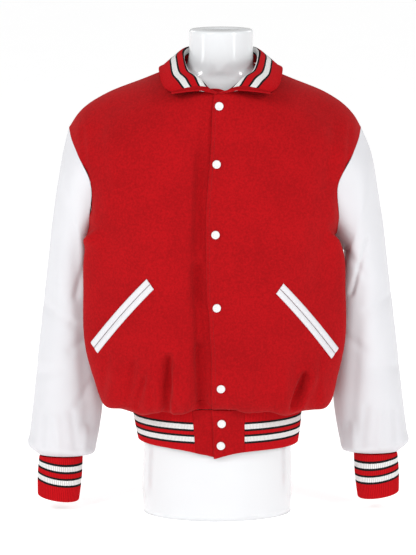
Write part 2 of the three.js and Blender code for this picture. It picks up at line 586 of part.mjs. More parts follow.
// A plain wall over a grid of outer and inner points
function plainWall(rows, cols, outerAt, innerAt) {
  const positions = [];
  for (const at of [outerAt, innerAt])
    for (let r = 0; r <= rows; r++) for (let c = 0; c <= cols; c++) positions.push(at(c / cols, r / rows));
  const wide = cols + 1;
  const count = (rows + 1) * wide;
  const faces = [];
  const quad = (a, b, c, d) => faces.push([a, b, c], [a, c, d]);
  for (let r = 0; r < rows; r++)
    for (let c = 0; c < cols; c++) {
      const a = r * wide + c;
      quad(a, a + 1, a + wide + 1, a + wide);
      quad(count + a, count + a + wide, count + a + wide + 1, count + a + 1);
    }
  for (let c = 0; c < cols; c++) {
    quad(c, count + c, count + c + 1, c + 1);
    const top = rows * wide + c;
    quad(top, top + 1, count + top + 1, count + top);
  }
  for (let r = 0; r < rows; r++) {
    const left = r * wide;
    quad(left, left + wide, count + left + wide, count + left);
    const right = left + cols;
    quad(right, count + right, count + right + wide, right + wide);
  }
  return solidFrom(positions, faces);
}

// The melton ends of the waistband; the over tab lies on the under tab.
function tabGeometry(side) {
  const from = side === "left" ? byHeight(placketRows, bandTop) : tabRight;
  const to = side === "left" ? tabLeft - 0.1 : underReach - 4;
  const at = (c, r, depth) => {
    const x = lerp(from, to, c);
    const past = THREE.MathUtils.smoothstep(x - byHeight(placketRows, bandTop), -28, -10);
    const under = side === "right" ? underDeep * past : 0;
    return bandPoint(bandAngle(x), lerp(hemZ(x, true), bandTop, r), depth + under);
  };
  return plainWall(3, 6, (c, r) => at(c, r, 0), (c, r) => at(c, r, meltonThick));
}

// The collar: each section runs from the neckline seam over the roll to the outer edge.
function collarGeometry() {
  const half = collarRows.map(({ seam, stand, roll, leaf, edge }) => [seam, stand, roll, leaf, edge]);
  const mirrored = half.slice(0, -1).map((row) => row.map(([x, y, z]) => [-x, y, z]));
  const rows = [...mirrored, ...[...half].reverse()];
  const curves = rows.map((row) => new THREE.CatmullRomCurve3(row.map(point)));
  const at = (t, k) => new THREE.CatmullRomCurve3(curves.map((curve) => curve.getPoint(k))).getPoint(t);
  const face = (t, k, depth) => {
    const step = 0.004;
    const alongT = at(Math.min(t + step, 1), k).sub(at(Math.max(t - step, 0), k));
    const alongK = at(t, Math.min(k + step, 1)).sub(at(t, Math.max(k - step, 0)));
    const normal = alongK.cross(alongT).normalize();
    const p = at(t, k).addScaledVector(normal, -depth);
    return point([p.x + lerp(collarShift.seam, collarShift.rest, Math.min(1, 4 * k)), p.y, p.z]);
  };
  return ribbedWall({
    ribs: 48, ribsPerCell: 2, across: collarAcross, closed: false,
    outerAt: (t, k, rib) => face(t, 1 - k, rib ? 0 : ribDeep),
    innerAt: (t, k) => face(t, 1 - k, ribThick),
  });
}

// The place on a front's outer face that is seen at x and z from the front, and the direction it faces
function placeOnFront(side, x, z) {
  const { points, cells } = frontPieces[side];
  const cross = (p, q) => (q.x - p.x) * (z - p.z) - (q.z - p.z) * (x - p.x);
  for (const [a, b, c, d] of cells)
    for (const corner of [[a, b, c], [a, c, d]]) {
      const [p, q, r] = corner.map((i) => points[i]);
      const parts = [cross(q, r), cross(r, p), cross(p, q)];
      if (Math.min(...parts) < 0) continue;
      const total = parts[0] + parts[1] + parts[2];
      const normal = q.clone().sub(p).cross(r.clone().sub(p)).normalize();
      const place = [p, q, r].reduce((sum, v, k) => sum.addScaledVector(v, parts[k] / total), new THREE.Vector3());
      return { place, normal };
    }
  throw new Error(`nothing of front_${side} is seen at ${x}, ${z}`);
}

// A pocket welt: a soft strip beside the slit, above it or below it
function weltGeometry(side, place) {
  const { inner, outer } = pocketEnds[side];
  const along = new THREE.Vector2(outer[0] - inner[0], outer[1] - inner[1]).normalize();
  const across = new THREE.Vector2(along.y, -along.x).multiplyScalar(place === "upper" ? -1 : 1);
  if ((place === "upper") !== (across.y > 0)) across.negate();
  const bow = 3; // the pocket mouth bows a little
  const at = (c, r, height) => {
    const off = slitWide / 2 + r * weltWide - bow * (1 - (2 * c - 1) ** 2) * (place === "upper" ? -1 : 1);
    const run = weltLong * c + weltSlant * off * (place === "upper" ? -1 : 1);
    const x = sides[side] * (inner[0] + along.x * run + across.x * off);
    const z = inner[1] + along.y * run + across.y * off;
    const seat = placeOnFront(side, x + sway(z), z);
    return seat.place.addScaledVector(seat.normal, height);
  };
  const clear = 0.85;
  const crown = (c, r) => clear + weltThick * (0.55 + 0.45 * Math.sin(Math.PI * r));
  const turned = (side === "left") === (place === "upper");
  const columnsAlong = (c) => (turned ? c : 1 - c);
  return plainWall(2, 18, (c, r) => at(columnsAlong(c), r, crown(c, r)), (c, r) => at(columnsAlong(c), r, clear));
}

// A snap cap: a low disc with a raised rim round a flat middle
function snapGeometry() {
  const profile = [[0, 0], [snapRadius - 0.3, 0], [snapRadius, 0.9], [snapRadius - 1.1, 2.3], [5, 2.1], [4.5, 1.6], [0, 1.6]];
  const around = 14;
  return new THREE.LatheGeometry(profile.map(([r, h]) => new THREE.Vector2(r, h)), around);
}

function placeSnap(mesh, { x, z }) {
  const onTab = (sx, sz) => bandPoint(bandAngle(sx - sway(sz)), sz, 0);
  const tabNormal = () => onTab(x + 1, z).sub(onTab(x - 1, z)).cross(onTab(x, z + 1).sub(onTab(x, z - 1)));
  const seat = z > bandTop ? placeOnFront("left", x, z) : { place: onTab(x, z), normal: tabNormal().normalize() };
  mesh.quaternion.setFromUnitVectors(new THREE.Vector3(0, 1, 0), seat.normal);
  mesh.position.copy(seat.place).addScaledVector(seat.normal, seamGap);
}

// The dress form: ovals from the flat base up over the shoulders to the flat top of the neck
function formGeometry() {
  const positions = [];
  for (const { z, wide, deep, y, x } of formRows)
    for (let i = 0; i < formAround; i++) {
      const angle = (2 * Math.PI * i) / formAround;
      positions.push(point([x + wide * Math.cos(angle), y + deep * Math.sin(angle), z]));
    }
  const low = positions.push(point([0, formRows[0].y, 0])) - 1;
  const last = formRows[formRows.length - 1];
  const high = positions.push(point([last.x, last.y, last.z])) - 1;
  const faces = [];
  for (let i = 0; i < formAround; i++) {
    const next = (i + 1) % formAround;
    for (let r = 0; r + 1 < formRows.length; r++) {
      const a = r * formAround;
      const b = a + formAround;
      faces.push([a + i, a + next, b + next], [a + i, b + next, b + i]);
    }
    const top = (formRows.length - 1) * formAround;
    faces.push([low, next, i], [high, top + i, top + next]);
  }
  return solidFrom(positions, faces);
}

const jacket = new THREE.Group();
function add(name, geometry, material) {
  const mesh = new THREE.Mesh(geometry, material);
  mesh.name = name;
  jacket.add(mesh);
  return mesh;
}
add("back", clothWall(backPiece), melton);
for (const side of Object.keys(sides)) {
  add(`front_${side}`, clothWall(frontPieces[side]), melton);
  add(`sleeve_${side}`, clothWall(sleevePieces[side]), smoothWhite);
  add(`cuff_${side}`, cuffGeometry(side), ribKnit);
  add(`waistband_tab_${side}`, tabGeometry(side), melton);
  for (const place of ["upper", "lower"]) add(`pocket_${side}_${place}`, weltGeometry(side, place), smoothWhite);
}
add("waistband", bandGeometry(), ribKnit);
add("collar", collarGeometry(), ribKnit);
snaps.forEach((snap, i) => placeSnap(add(`snap_${i + 1}`, snapGeometry(), capWhite), snap));
add("dress_form", formGeometry(), glossWhite);

export default jacket;
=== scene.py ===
"""A varsity jacket on a limbless dress form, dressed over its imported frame.

The cloth pieces are fine shells on the solids' own forms, with their folds, ribs, stripes and
sewing. Shapes are worked out in millimetres, with X to the wearer's left, -Y to the front and Z up,
and are turned to metres at the end.
"""

import math

import bmesh
import bpy
import numpy as np
from mathutils import Matrix, Vector
from mathutils.bvhtree import BVHTree


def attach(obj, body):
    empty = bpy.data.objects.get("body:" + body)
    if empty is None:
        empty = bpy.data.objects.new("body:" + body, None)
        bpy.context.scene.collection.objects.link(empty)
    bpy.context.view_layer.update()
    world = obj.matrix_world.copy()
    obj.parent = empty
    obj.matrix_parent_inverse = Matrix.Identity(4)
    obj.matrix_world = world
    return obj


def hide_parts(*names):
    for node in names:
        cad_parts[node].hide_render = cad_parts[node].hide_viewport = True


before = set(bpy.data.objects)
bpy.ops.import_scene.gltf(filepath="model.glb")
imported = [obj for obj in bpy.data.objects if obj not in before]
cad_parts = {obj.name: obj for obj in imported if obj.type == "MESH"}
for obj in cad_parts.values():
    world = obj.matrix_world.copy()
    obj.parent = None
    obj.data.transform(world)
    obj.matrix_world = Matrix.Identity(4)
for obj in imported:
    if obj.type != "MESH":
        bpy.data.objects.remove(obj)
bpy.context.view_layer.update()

bl_info = {
    "name": "Varsity Jacket",
    "version": (1, 0, 0),
    "blender": (4, 5, 0),
    "location": "View3D > Sidebar > Jacket",
    "description": "Builds a snap-front varsity jacket on a dress form",
    "category": "Object",
}

MM = 0.001

# The front panel's half, a row for each section up from the waistband seam: the centre line or
# neckline, mid panel, the fold-back before the arm, behind it, and the side seam or armhole.
FRONT_ROWS = np.array([
    [[0, -125, 207], [84, -106, 207], [130, -68, 207], [148, -36, 207], [155, -4, 207]],
    [[0, -128.5, 209.5], [88, -117, 199], [139, -79, 194], [160, -42, 190], [167, -2, 190]],
    [[0, -135, 214], [97, -129, 203], [166, -88, 199], [181, -44, 197], [182, 6, 198]],
    [[0, -142, 228], [107, -137, 220], [202, -72, 213], [197, -28, 213], [191, 18, 213]],
    [[0, -147, 256], [114, -139, 255], [217, -66, 252], [201, -20, 251], [196, 28, 250]],
    [[0, -147, 322], [122, -138, 321], [233, -63, 320], [204, -18, 320], [197, 30, 320]],
    [[0, -145, 412], [123, -137, 411], [234, -63, 410], [205, -18, 410], [197, 28, 410]],
    [[0, -143, 490], [123, -138, 490], [229, -72, 486], [213, -28, 484], [211, 10, 482]],
    [[0, -140, 556], [118, -138, 552], [190, -114, 548], [213, -93, 544], [223, -66, 540]],
    [[0, -135, 628], [113, -131, 626], [184, -111, 620], [206, -97, 616], [221, -78, 611]],
    [[0, -127, 704], [106, -118, 696], [186, -97, 678], [220, -79, 666], [243, -56, 656]],
    [[0, -114, 771], [104, -93, 746], [188, -70, 714], [228, -53, 690], [252, -37, 672]],
    [[28, -106, 774], [111, -72, 763], [190, -50, 732], [232, -37, 707], [257, -22, 683]],
    [[53, -84, 780], [118, -50, 774], [193, -32, 746], [234, -22, 720], [259, -12, 690]],
    [[71, -44, 795], [125, -26, 782], [195, -14, 755], [235, -8, 729], [260.5, -3, 695]],
    [[77, 0, 809], [130, 2, 787], [196, 4, 760], [236, 5, 733], [261, 6, 698]],
], float)
BACK_ROWS = np.array([
    [[0, 110, 207], [84, 94, 207], [130, 60, 207], [148, 30, 207], [155, -4, 207]],
    [[0, 118, 200], [88, 104, 198], [138, 70, 194], [160, 36, 190], [167, -2, 190]],
    [[0, 126, 204], [96, 114, 202], [156, 82, 199], [176, 46, 197], [182, 6, 198]],
    [[0, 132, 220], [104, 122, 218], [172, 90, 215], [188, 56, 214], [191, 18, 213]],
    [[0, 136, 254], [108, 128, 254], [180, 96, 252], [194, 64, 250], [196, 28, 250]],
    [[0, 138, 322], [112, 131, 321], [184, 100, 320], [196, 68, 320], [197, 30, 320]],
    [[0, 141, 412], [114, 135, 411], [186, 104, 410], [197, 68, 410], [197, 28, 410]],
    [[0, 144, 490], [118, 139, 490], [192, 110, 486], [206, 62, 484], [211, 10, 482]],
    [[0, 147, 556], [118, 143, 552], [188, 128, 548], [212, 108, 544], [224, 82, 540]],
    [[0, 148, 626], [116, 143, 622], [186, 128, 618], [212, 112, 614], [228, 92, 610]],
    [[0, 143, 694], [112, 134, 690], [190, 114, 676], [226, 94, 664], [246, 72, 654]],
    [[0, 130, 738], [108, 118, 730], [190, 92, 710], [230, 70, 690], [254, 48, 674]],
    [[0, 104, 784], [108, 94, 762], [191, 68, 735], [233, 50, 708], [257, 34, 684]],
    [[0, 74, 814], [112, 62, 779], [192, 44, 749], [234, 34, 720], [259, 22, 691]],
    [[44, 60, 813], [120, 34, 786], [194, 24, 757], [235, 18, 729], [260.5, 13, 695]],
    [[77, 0, 809], [130, 2, 787], [196, 4, 760], [236, 5, 733], [261, 6, 698]],
], float)
UNDERARM_V = 7 / 15
FRONT_NECK_V = 11 / 15
NECK_NEXT_V = 12 / 15
BACK_NECK_V = 13 / 15
INNER_U = 0.2

# The sleeve's sections: outer x and z, inner x and z, middle y, half depth
SLEEVE_ROWS = [
    (277, 650, 227, 470, 10, 83),
    (288, 588, 222, 448, 14, 77),
    (301, 484, 212, 408, 22, 71),
    (313, 384, 207, 345, 25, 68),
    (324, 284, 204, 268, 26, 62),
    (333, 196, 208, 184, 24, 54),
    (340, 138, 218, 122, 19, 46),
    (343, 118, 224, 102, 15, 42),
    (322.5, 99.5, 243.5, 98, 11, 25.5),
]
CUFF_TOP = (283, 11, 97.6, 39.5, 25.5)
CUFF_BOTTOM = (288, 4, 22, 37.5, 24)
SLEEVE_SHIFT = {"right": (0, 0), "left": (5, 6)}
SLEEVE_TOP = 700

# The collar's half from its front end to the centre back: seam, stand, roll, leaf and outer edge
COLLAR_ROWS = np.array([
    [[1, -114.4, 771.2], [20, -121.5, 778], [40, -122, 778], [66, -121.5, 775], [86, -118.5, 772]],
    [[26, -106.6, 775.2], [32, -110, 792], [44, -107, 798], [74, -104, 790], [96, -98, 777]],
    [[54, -79, 783.2], [53, -77, 799], [58, -73, 807], [84, -68, 800], [105, -62, 788]],
    [[72, -34, 799.2], [64, -31, 816], [67, -28, 824], [88, -26, 812], [108, -25, 798]],
    [[73, 12, 811.1], [63.5, 14, 826], [66, 18, 834.5], [85, 20, 822], [107, 22, 803.5]],
    [[52, 49.6, 813.2], [48.5, 50, 829], [52.5, 54, 837.5], [70, 66, 825], [79, 76, 805]],
    [[0, 71.4, 815.9], [0, 68, 830], [0, 73, 839], [0, 91, 828], [0, 104, 806]],
], float)
COLLAR_SHIFT = (2, 6.5)

SWAY_ROWS = [(120, 2.5), (300, -4), (480, -5), (700, -4), (800, 2)]
PLACKET_ROWS = [(120, -9), (302, -9.5), (361, -13), (420, -19), (536, -20), (727, -9.5), (775, -6)]

# Folds as seen from the front or back: from x, z, to x, z, half width, height
FRONT_FOLDS = {
    "right": [
        (-230, 612, -236, 700, 15, 4), (-213, 560, -222, 680, 15, -4), (-28, 700, -34, 420, 14, -4),
        (-20, 380, -26, 225, 14, -3), (-196, 205, -180, 262, 14, 5), (-164, 204, -152, 282, 12, -4),
        (-132, 204, -124, 270, 12, 4), (-98, 204, -90, 290, 14, -4), (-62, 204, -60, 290, 14, 4),
    ],
    "left": [
        (226, 620, 236, 700, 15, 5), (186, 440, 196, 640, 24, -6), (190, 206, 176, 262, 14, 5),
        (156, 204, 144, 284, 12, -5), (124, 204, 116, 270, 13, 4), (90, 204, 84, 300, 14, -4),
        (52, 204, 52, 280, 14, 3),
    ],
}
BACK_FOLDS = [
    (-170, 560, -178, 700, 20, -5), (172, 540, 180, 690, 20, -5), (-150, 204, -132, 330, 15, 5),
    (-110, 204, -100, 300, 14, -4), (-66, 204, -60, 320, 15, 4), (-22, 204, -20, 290, 15, -4),
    (24, 204, 20, 340, 15, 4), (70, 204, 62, 300, 14, -4), (114, 204, 100, 310, 15, 5),
    (152, 204, 136, 290, 14, -4),
]
SIDES = {"right": -1, "left": 1}
BAND_TOP = 206.4
BAND_BOTTOM = 129
BAND_WIDE = 154.5
BAND_FRONT = 124.5
BAND_BACK = 109.5
BAND_MIDDLE_Y = -4
BAND_DRAW = 10
TAB_RIGHT = -45
TAB_LEFT = 50
UNDER_DEEP = 3.2
UNDER_REACH = 24

# The form's sections: height, half width, half depth, middle y and x
FORM_ROWS = np.array([
    [0, 134, 100, -6, 0], [60, 136, 102, -7, 0], [130, 133, 101, -7, 1], [205, 129, 98, -7, 1],
    [280, 132, 97, -7, 0], [360, 148, 104, -8, -2], [450, 168, 113, -8, -4], [530, 182, 116, -5, -4],
    [600, 195, 112, -1, -4], [660, 207, 104, 2, -4], [700, 213, 92, 4, -4], [724, 214, 80, 5, -3.5],
    [740, 209, 71, 5, -2], [751.7, 200, 66, 5, -1.4], [765.7, 173, 62, 5, 0], [779.7, 137, 56, 4, 1],
    [792.7, 96, 51, 4, 2.5], [805.7, 63, 52.5, 4, 5], [826, 57.5, 55, 4, 7], [850, 57, 55, 4, 7],
    [870, 57, 55, 4, 7], [872.6, 55.5, 53.5, 4, 7],
], float)

SNAPS = [(3.4, 749), (-1.3, 648), (-3.2, 524), (-0.9, 394), (6.7, 249), (8, 181.5), (6.7, 141)]

# The pocket slits' inner and outer ends, seen from the front, and how far the welts' ends slant
POCKET_ENDS = {"right": ((113, 436), (216, 311)), "left": ((115, 428), (210, 307))}
WELT_SLANT = 0.28
CUFF_TILT = (5, 5)
CUFF_PULL = (3, 3.5, 2.5)

# How much higher the under tab's lower edge lies beside the lap
UNDER_TAB_RISE = 2.5

# Points nearer than this, in metres, are one point
JOIN_WITHIN = 1.2e-5

# How far from a sheet's lower and upper edge its fine creases are whole
CREASE_EASE = 9

# The swing of the front's edge at the armhole's lowest point: its height, half width and depth,
# and the distances from the middle between which it grows to the whole
ARMHOLE_LOW = {"right": (509, 15, 13), "left": (510, 12, 5)}
ARMHOLE_EASE = (192, 218)


def spline(points, t):
    """Places on the smooth curve through a row of points, which may be a row of arrays of points."""
    points = np.asarray(points, float)
    t = np.atleast_1d(np.asarray(t, float))
    if points.ndim == 2:
        points = np.repeat(points[:, None, :], len(t), axis=1)
    last = len(points) - 1
    place = np.clip(t, 0, 1) * last
    start = np.minimum(place.astype(int), last - 1)
    w = (place - start)[:, None]
    padded = np.concatenate([[2 * points[0] - points[1]], points, [2 * points[-1] - points[-2]]])
    column = np.arange(len(t))
    p0, p1, p2, p3 = (padded[start + k, column] for k in range(4))
    gap0, gap1, gap2 = (
        np.sqrt(np.linalg.norm(b - a, axis=1))[:, None] for a, b in ((p0, p1), (p1, p2), (p2, p3))
    )
    gap1 = np.where(gap1 < 1e-4, 1, gap1)
    gap0 = np.where(gap0 < 1e-4, gap1, gap0)
    gap2 = np.where(gap2 < 1e-4, gap1, gap2)
    slope1 = ((p1 - p0) / gap0 - (p2 - p0) / (gap0 + gap1) + (p2 - p1) / gap1) * gap1
    slope2 = ((p2 - p1) / gap1 - (p3 - p1) / (gap1 + gap2) + (p3 - p2) / gap2) * gap1
    square = -3 * p1 + 3 * p2 - 2 * slope1 - slope2
    cube = 2 * p1 - 2 * p2 + slope1 + slope2
    return p1 + slope1 * w + square * w**2 + cube * w**3


def smooth(x, low, high):
    share = np.clip((np.asarray(x, float) - low) / (high - low), 0, 1)
    return share * share * (3 - 2 * share)


def by_height(table, z):
    """A value read off a short table of height and value, eased between its rows."""
    z = np.asarray(z, float)
    heights = [row[0] for row in table]
    values = [row[1] for row in table]
    result = np.full(z.shape, float(values[0]))
    for k in range(len(table) - 1):
        share = smooth(z, heights[k], heights[k + 1])
        result = np.where(z > heights[k], values[k] + (values[k + 1] - values[k]) * share, result)
    return result


def sway(z):
    return by_height(SWAY_ROWS, z)


def fold_height(folds, x, z):
    """How high the folds stand at a place seen from the front or back."""
    total = np.zeros(np.shape(x))
    for x0, z0, x1, z1, half, high in folds:
        long = math.hypot(x1 - x0, z1 - z0)
        along = ((x - x0) * (x1 - x0) + (z - z0) * (z1 - z0)) / long
        across = ((x - x0) * (z1 - z0) - (z - z0) * (x1 - x0)) / long
        beyond = np.maximum(0, np.maximum(-along, along - long))
        total = total + high * np.exp(-((across / half) ** 2) - (beyond / (1.3 * half)) ** 2)
    return total


def panel_surface(rows, u, v):
    """A panel on the wearer's left, before its folds."""
    inner = rows[:, 0]
    mid = rows[:, 1]
    on_centre = inner[:, :1] == 0
    before = np.where(on_centre, mid * [-1, 1, 1], 2 * inner - mid)
    stations = np.concatenate([before[:, None], rows], axis=1)
    return spline(np.stack([spline(row, u) for row in stations]), v)


def panel_normal(rows, u, v, facing):
    step = 0.004
    along_u = panel_surface(rows, np.minimum(u + step, 1), v) - panel_surface(rows, u - step, v)
    above = panel_surface(rows, u, np.minimum(v + step, 1))
    below = panel_surface(rows, u, np.maximum(v - step, 0))
    along_v = above - below
    normal = np.cross(along_u, along_v)
    return facing * normal / np.linalg.norm(normal, axis=1)[:, None]


def band_point(angle, z, depth):
    draw = BAND_DRAW * (BAND_TOP - z) / (BAND_TOP - BAND_BOTTOM)
    front = np.cos(angle) > 0
    deep = np.where(front, BAND_FRONT + BAND_MIDDLE_Y, BAND_BACK - BAND_MIDDLE_Y) - 0.6 * draw
    x = (BAND_WIDE - draw - depth) * np.sin(angle)
    y = BAND_MIDDLE_Y - (deep - depth) * np.cos(angle)
    return np.stack([x + sway(z), y, z + 0 * x], axis=-1)


def on_band_seam(p, depth):
    """A panel's lowest row, set just outside the waistband."""
    deep = np.where(p[:, 1] < BAND_MIDDLE_Y, BAND_FRONT + BAND_MIDDLE_Y, BAND_BACK - BAND_MIDDLE_Y)
    angle = np.arctan2(p[:, 0] / BAND_WIDE, (BAND_MIDDLE_Y - p[:, 1]) / deep)
    seam = band_point(angle, np.full(len(p), BAND_TOP), depth - 0.5)
    return np.stack([seam[:, 0] - sway(BAND_TOP), seam[:, 1], p[:, 2]], axis=1)


def front_point(side, u, v):
    """Points of a front with its folds, pushed in where it lies under the other front."""
    sign = SIDES[side]
    flat = panel_surface(FRONT_ROWS, u, v)
    x = sign * flat[:, 0] + sway(flat[:, 2])
    past = x - by_height(PLACKET_ROWS, flat[:, 2])
    under = UNDER_DEEP * smooth(past, -28, -10) if side == "right" else np.zeros(len(x))
    normal = panel_normal(FRONT_ROWS, u, v, 1)
    raised = flat + normal * (fold_height(FRONT_FOLDS[side], x, flat[:, 2]) - under)[:, None]
    low = smooth(v, 0, 0.5 / 15)[:, None]
    p = on_band_seam(flat, under) * (1 - low) + raised * low
    return np.stack([sign * p[:, 0] + sway(p[:, 2]), p[:, 1], p[:, 2]], axis=1)


def back_point(sign, u, v):
    flat = panel_surface(BACK_ROWS, u, v)
    normal = panel_normal(BACK_ROWS, u, v, -1)
    raised = flat + normal * fold_height(BACK_FOLDS, sign * flat[:, 0], flat[:, 2])[:, None]
    low = smooth(v, 0, 0.5 / 15)[:, None]
    p = on_band_seam(flat, np.zeros(len(u))) * (1 - low) + raised * low
    p[:, 0] = np.where((u <= INNER_U + 1e-9) & (v <= BACK_NECK_V), 0, p[:, 0])
    return np.stack([sign * p[:, 0] + sway(p[:, 2]), p[:, 1], p[:, 2]], axis=1)


def u_at_x(x, v):
    """Where a front reaches the given x beside its centre line."""
    low = np.full(len(v), 0.05)
    high = np.full(len(v), 0.5)
    for _ in range(30):
        middle = (low + high) / 2
        short = panel_surface(FRONT_ROWS, middle, v)[:, 0] < x
        low = np.where(short, middle, low)
        high = np.where(short, high, middle)
    return low


def front_dense(side, across, up):
    """A front as rows of points from its front edge to its side seam."""
    v = np.linspace(0, 1, up)
    held = np.minimum(v, FRONT_NECK_V)
    centre_z = panel_surface(FRONT_ROWS, np.full(up, INNER_U), held)[:, 2]
    if side == "left":
        reach = by_height(PLACKET_ROWS, centre_z) - sway(centre_z)
    else:
        reach = np.full(up, -UNDER_REACH)
    edge_u = u_at_x(reach, held)
    start = edge_u + (INNER_U - edge_u) * smooth(v, FRONT_NECK_V, NECK_NEXT_V)
    share = np.linspace(0, 1, across)
    u = start[:, None] + (1 - start[:, None]) * share[None, :]
    vs = np.repeat(v[:, None], across, axis=1)
    return front_point(side, u.ravel(), vs.ravel()).reshape(up, across, 3)


def seam_edge(side, v):
    return front_point(side, np.ones(len(v)), v)


def back_dense(across, up):
    """The back as rows of points from the wearer's right side seam to the left one."""
    v = np.linspace(0, 1, up)
    half = np.linspace(1, 0, across)
    sheets = []
    for side in ("right", "left"):
        u = INNER_U + (1 - INNER_U) * half
        us = np.repeat(u[None, :], up, axis=0)
        vs = np.repeat(v[:, None], across, axis=1)
        p = back_point(SIDES[side], us.ravel(), vs.ravel()).reshape(up, across, 3)
        edge = seam_edge(side, v) - p[:, 0]
        below = (v <= UNDERARM_V + 1e-6)[:, None]
        near_edge = np.clip((us[..., None] - 0.9) / 0.1, 0, 1)
        p = p + np.where(below, edge, 0)[:, None, :] * near_edge
        top = front_point(side, u, np.ones(across)) - p[-1]
        near_top = np.clip((vs[..., None] - 29 / 30) * 30, 0, 1)
        p = p + top[None] * near_top
        sheets.append(p)
    return np.concatenate([sheets[0], sheets[1][:, ::-1][:, 1:]], axis=1)


def armhole(side, count):
    """The armhole from the underarm up the front and down the back, and the angle of each of its points."""
    v = np.linspace(UNDERARM_V, 1, count)
    front = front_point(side, np.ones(count), v)
    back = back_point(SIDES[side], np.ones(count), v)
    back[0] = front[0]
    back[-1] = front[-1]
    loops = []
    for edge in (front, back[::-1]):
        run = np.concatenate([[0], np.cumsum(np.linalg.norm(np.diff(edge, axis=0), axis=1))])
        loops.append((edge, run / run[-1]))
    points = np.concatenate([loops[0][0], loops[1][0][1:]])
    angles = np.concatenate([np.pi * loops[0][1], np.pi * (1 + loops[1][1][1:])])
    return points, angles


def sleeve_dense(side, around, along):
    """A sleeve as rings of points from the armhole to the cuff, each ring closed."""
    sign = SIDES[side]
    shift_x, shift_z = SLEEVE_SHIFT[side]
    hole, hole_angles = armhole(side, 200)
    angles = np.linspace(0, 2 * np.pi, around + 1)
    start = np.stack([np.interp(angles, hole_angles, hole[:, k]) for k in range(3)], axis=1)
    stations = [start]
    across = (1 - np.cos(angles)) / 2
    for outer_x, outer_z, inner_x, inner_z, mid_y, half in SLEEVE_ROWS:
        x = inner_x + (outer_x - inner_x) * across
        z = inner_z + (outer_z - inner_z) * across
        share = np.clip((SLEEVE_TOP - z) / (SLEEVE_TOP - CUFF_TOP[2]), 0, 1)
        ring = [sign * (x + share * shift_x), mid_y - half * np.sin(angles), z + share * shift_z]
        stations.append(np.stack(ring, axis=1))
    stations = np.stack(stations)
    t = np.linspace(0, 1, along)
    return np.stack([spline(stations, np.full(around + 1, value)) for value in t])


def collar_rows():
    half = COLLAR_ROWS
    mirrored = half[:-1] * [-1, 1, 1]
    return np.concatenate([mirrored, half[::-1]])


def collar_surface(t, k):
    """The collar's face: t runs from the wearer's right end to the left, k from the seam outwards."""
    return spline(np.stack([spline(row, k) for row in collar_rows()]), t)


def collar_face(t, k, depth):
    step = 0.004
    along_t = collar_surface(np.minimum(t + step, 1), k) - collar_surface(np.maximum(t - step, 0), k)
    along_k = collar_surface(t, np.minimum(k + step, 1)) - collar_surface(t, np.maximum(k - step, 0))
    normal = np.cross(along_k, along_t)
    normal /= np.linalg.norm(normal, axis=1)[:, None]
    p = collar_surface(t, k) - normal * np.asarray(depth)[..., None]
    shift = COLLAR_SHIFT[0] + (COLLAR_SHIFT[1] - COLLAR_SHIFT[0]) * np.minimum(1, 4 * k)
    return p + np.stack([shift, 0 * shift, 0 * shift], axis=1)


def hem_z(x, front):
    dip = 14.5 * np.exp(-((np.abs(x + 8) / 36) ** 1.3))
    return BAND_BOTTOM + np.where(front, 3 - dip, 0) - 0.018 * (x + 100)


def stations_along(length, count, margins):
    """Distances along a length: a few close to both ends, then even ones."""
    margins = [m for m in margins if m < length / 3]
    inside = np.linspace(margins[-1], length - margins[-1], count - 2 * (len(margins) - 1))
    return np.concatenate([margins[:-1], inside, length - np.array(margins[:-1])[::-1]])


def respaced(rows, count, margins):
    """Each row of points moved to stations along itself."""
    result = []
    for row in rows:
        run = np.concatenate([[0], np.cumsum(np.linalg.norm(np.diff(row, axis=0), axis=1))])
        at = stations_along(run[-1], count, margins)
        result.append(np.stack([np.interp(at, run, row[:, k]) for k in range(3)], axis=1))
    return np.stack(result)


def run_lengths(points, axis):
    steps = np.linalg.norm(np.diff(points, axis=axis), axis=2)
    pad = np.zeros((1, steps.shape[1])) if axis == 0 else np.zeros((steps.shape[0], 1))
    return np.concatenate([pad, np.cumsum(steps, axis=axis)], axis=axis)


def grid_normals(points, facing, closed=False):
    """Unit normals of a grid of points, on the side that facing gives."""
    if closed:
        wrapped = np.concatenate([points[:, -2:-1], points, points[:, 1:2]], axis=1)
        across = np.gradient(wrapped, axis=1)[:, 1:-1]
    else:
        across = np.gradient(points, axis=1)
    up = np.gradient(points, axis=0)
    normal = np.cross(across, up)
    length = np.linalg.norm(normal, axis=2)[..., None]
    return facing * normal / np.maximum(length, 1e-9)


def edge_roll(distance, radius):
    """How far a cloth's face turns in close to its edge."""
    share = 1 - np.clip(distance / radius, 0, 1)
    return radius * (1 - np.sqrt(1 - share**2))


def sheet_mesh(name, points, uv, facing, close_around=False):
    """A cloth face from a grid of points, in millimetres, with its own cut lengths as texture coordinates."""
    rows, columns = points.shape[:2]
    bm = bmesh.new()
    bmesh.ops.create_grid(bm, x_segments=columns - 1, y_segments=rows - 1, size=0.5)
    layer = bm.loops.layers.uv.new("cut")
    bm.verts.ensure_lookup_table()
    xs = np.array([v.co.x for v in bm.verts]) + 0.5
    ys = np.array([v.co.y for v in bm.verts]) + 0.5
    column = np.rint(xs * (columns - 1)).astype(int)
    row = np.rint(ys * (rows - 1)).astype(int)
    places = points[row, column] * MM
    coords = uv[row, column]
    for vert, place in zip(bm.verts, places):
        vert.co = place
    for face in bm.faces:
        for loop in face.loops:
            loop[layer].uv = coords[loop.vert.index]
        face.smooth = True
    if facing < 0:
        bmesh.ops.reverse_faces(bm, faces=bm.faces[:])
    if close_around:
        bmesh.ops.remove_doubles(bm, verts=bm.verts[:], dist=2e-5)
    mesh = bpy.data.meshes.new(name)
    bm.to_mesh(mesh)
    bm.free()
    piece = bpy.data.objects.new(name, mesh)
    bpy.context.scene.collection.objects.link(piece)
    return piece


def wall(piece, thick):
    """Gives a cloth face its thickness, inwards."""
    solid = piece.modifiers.new("thickness", "SOLIDIFY")
    solid.thickness = thick * MM
    solid.offset = -1
    solid.use_rim = True


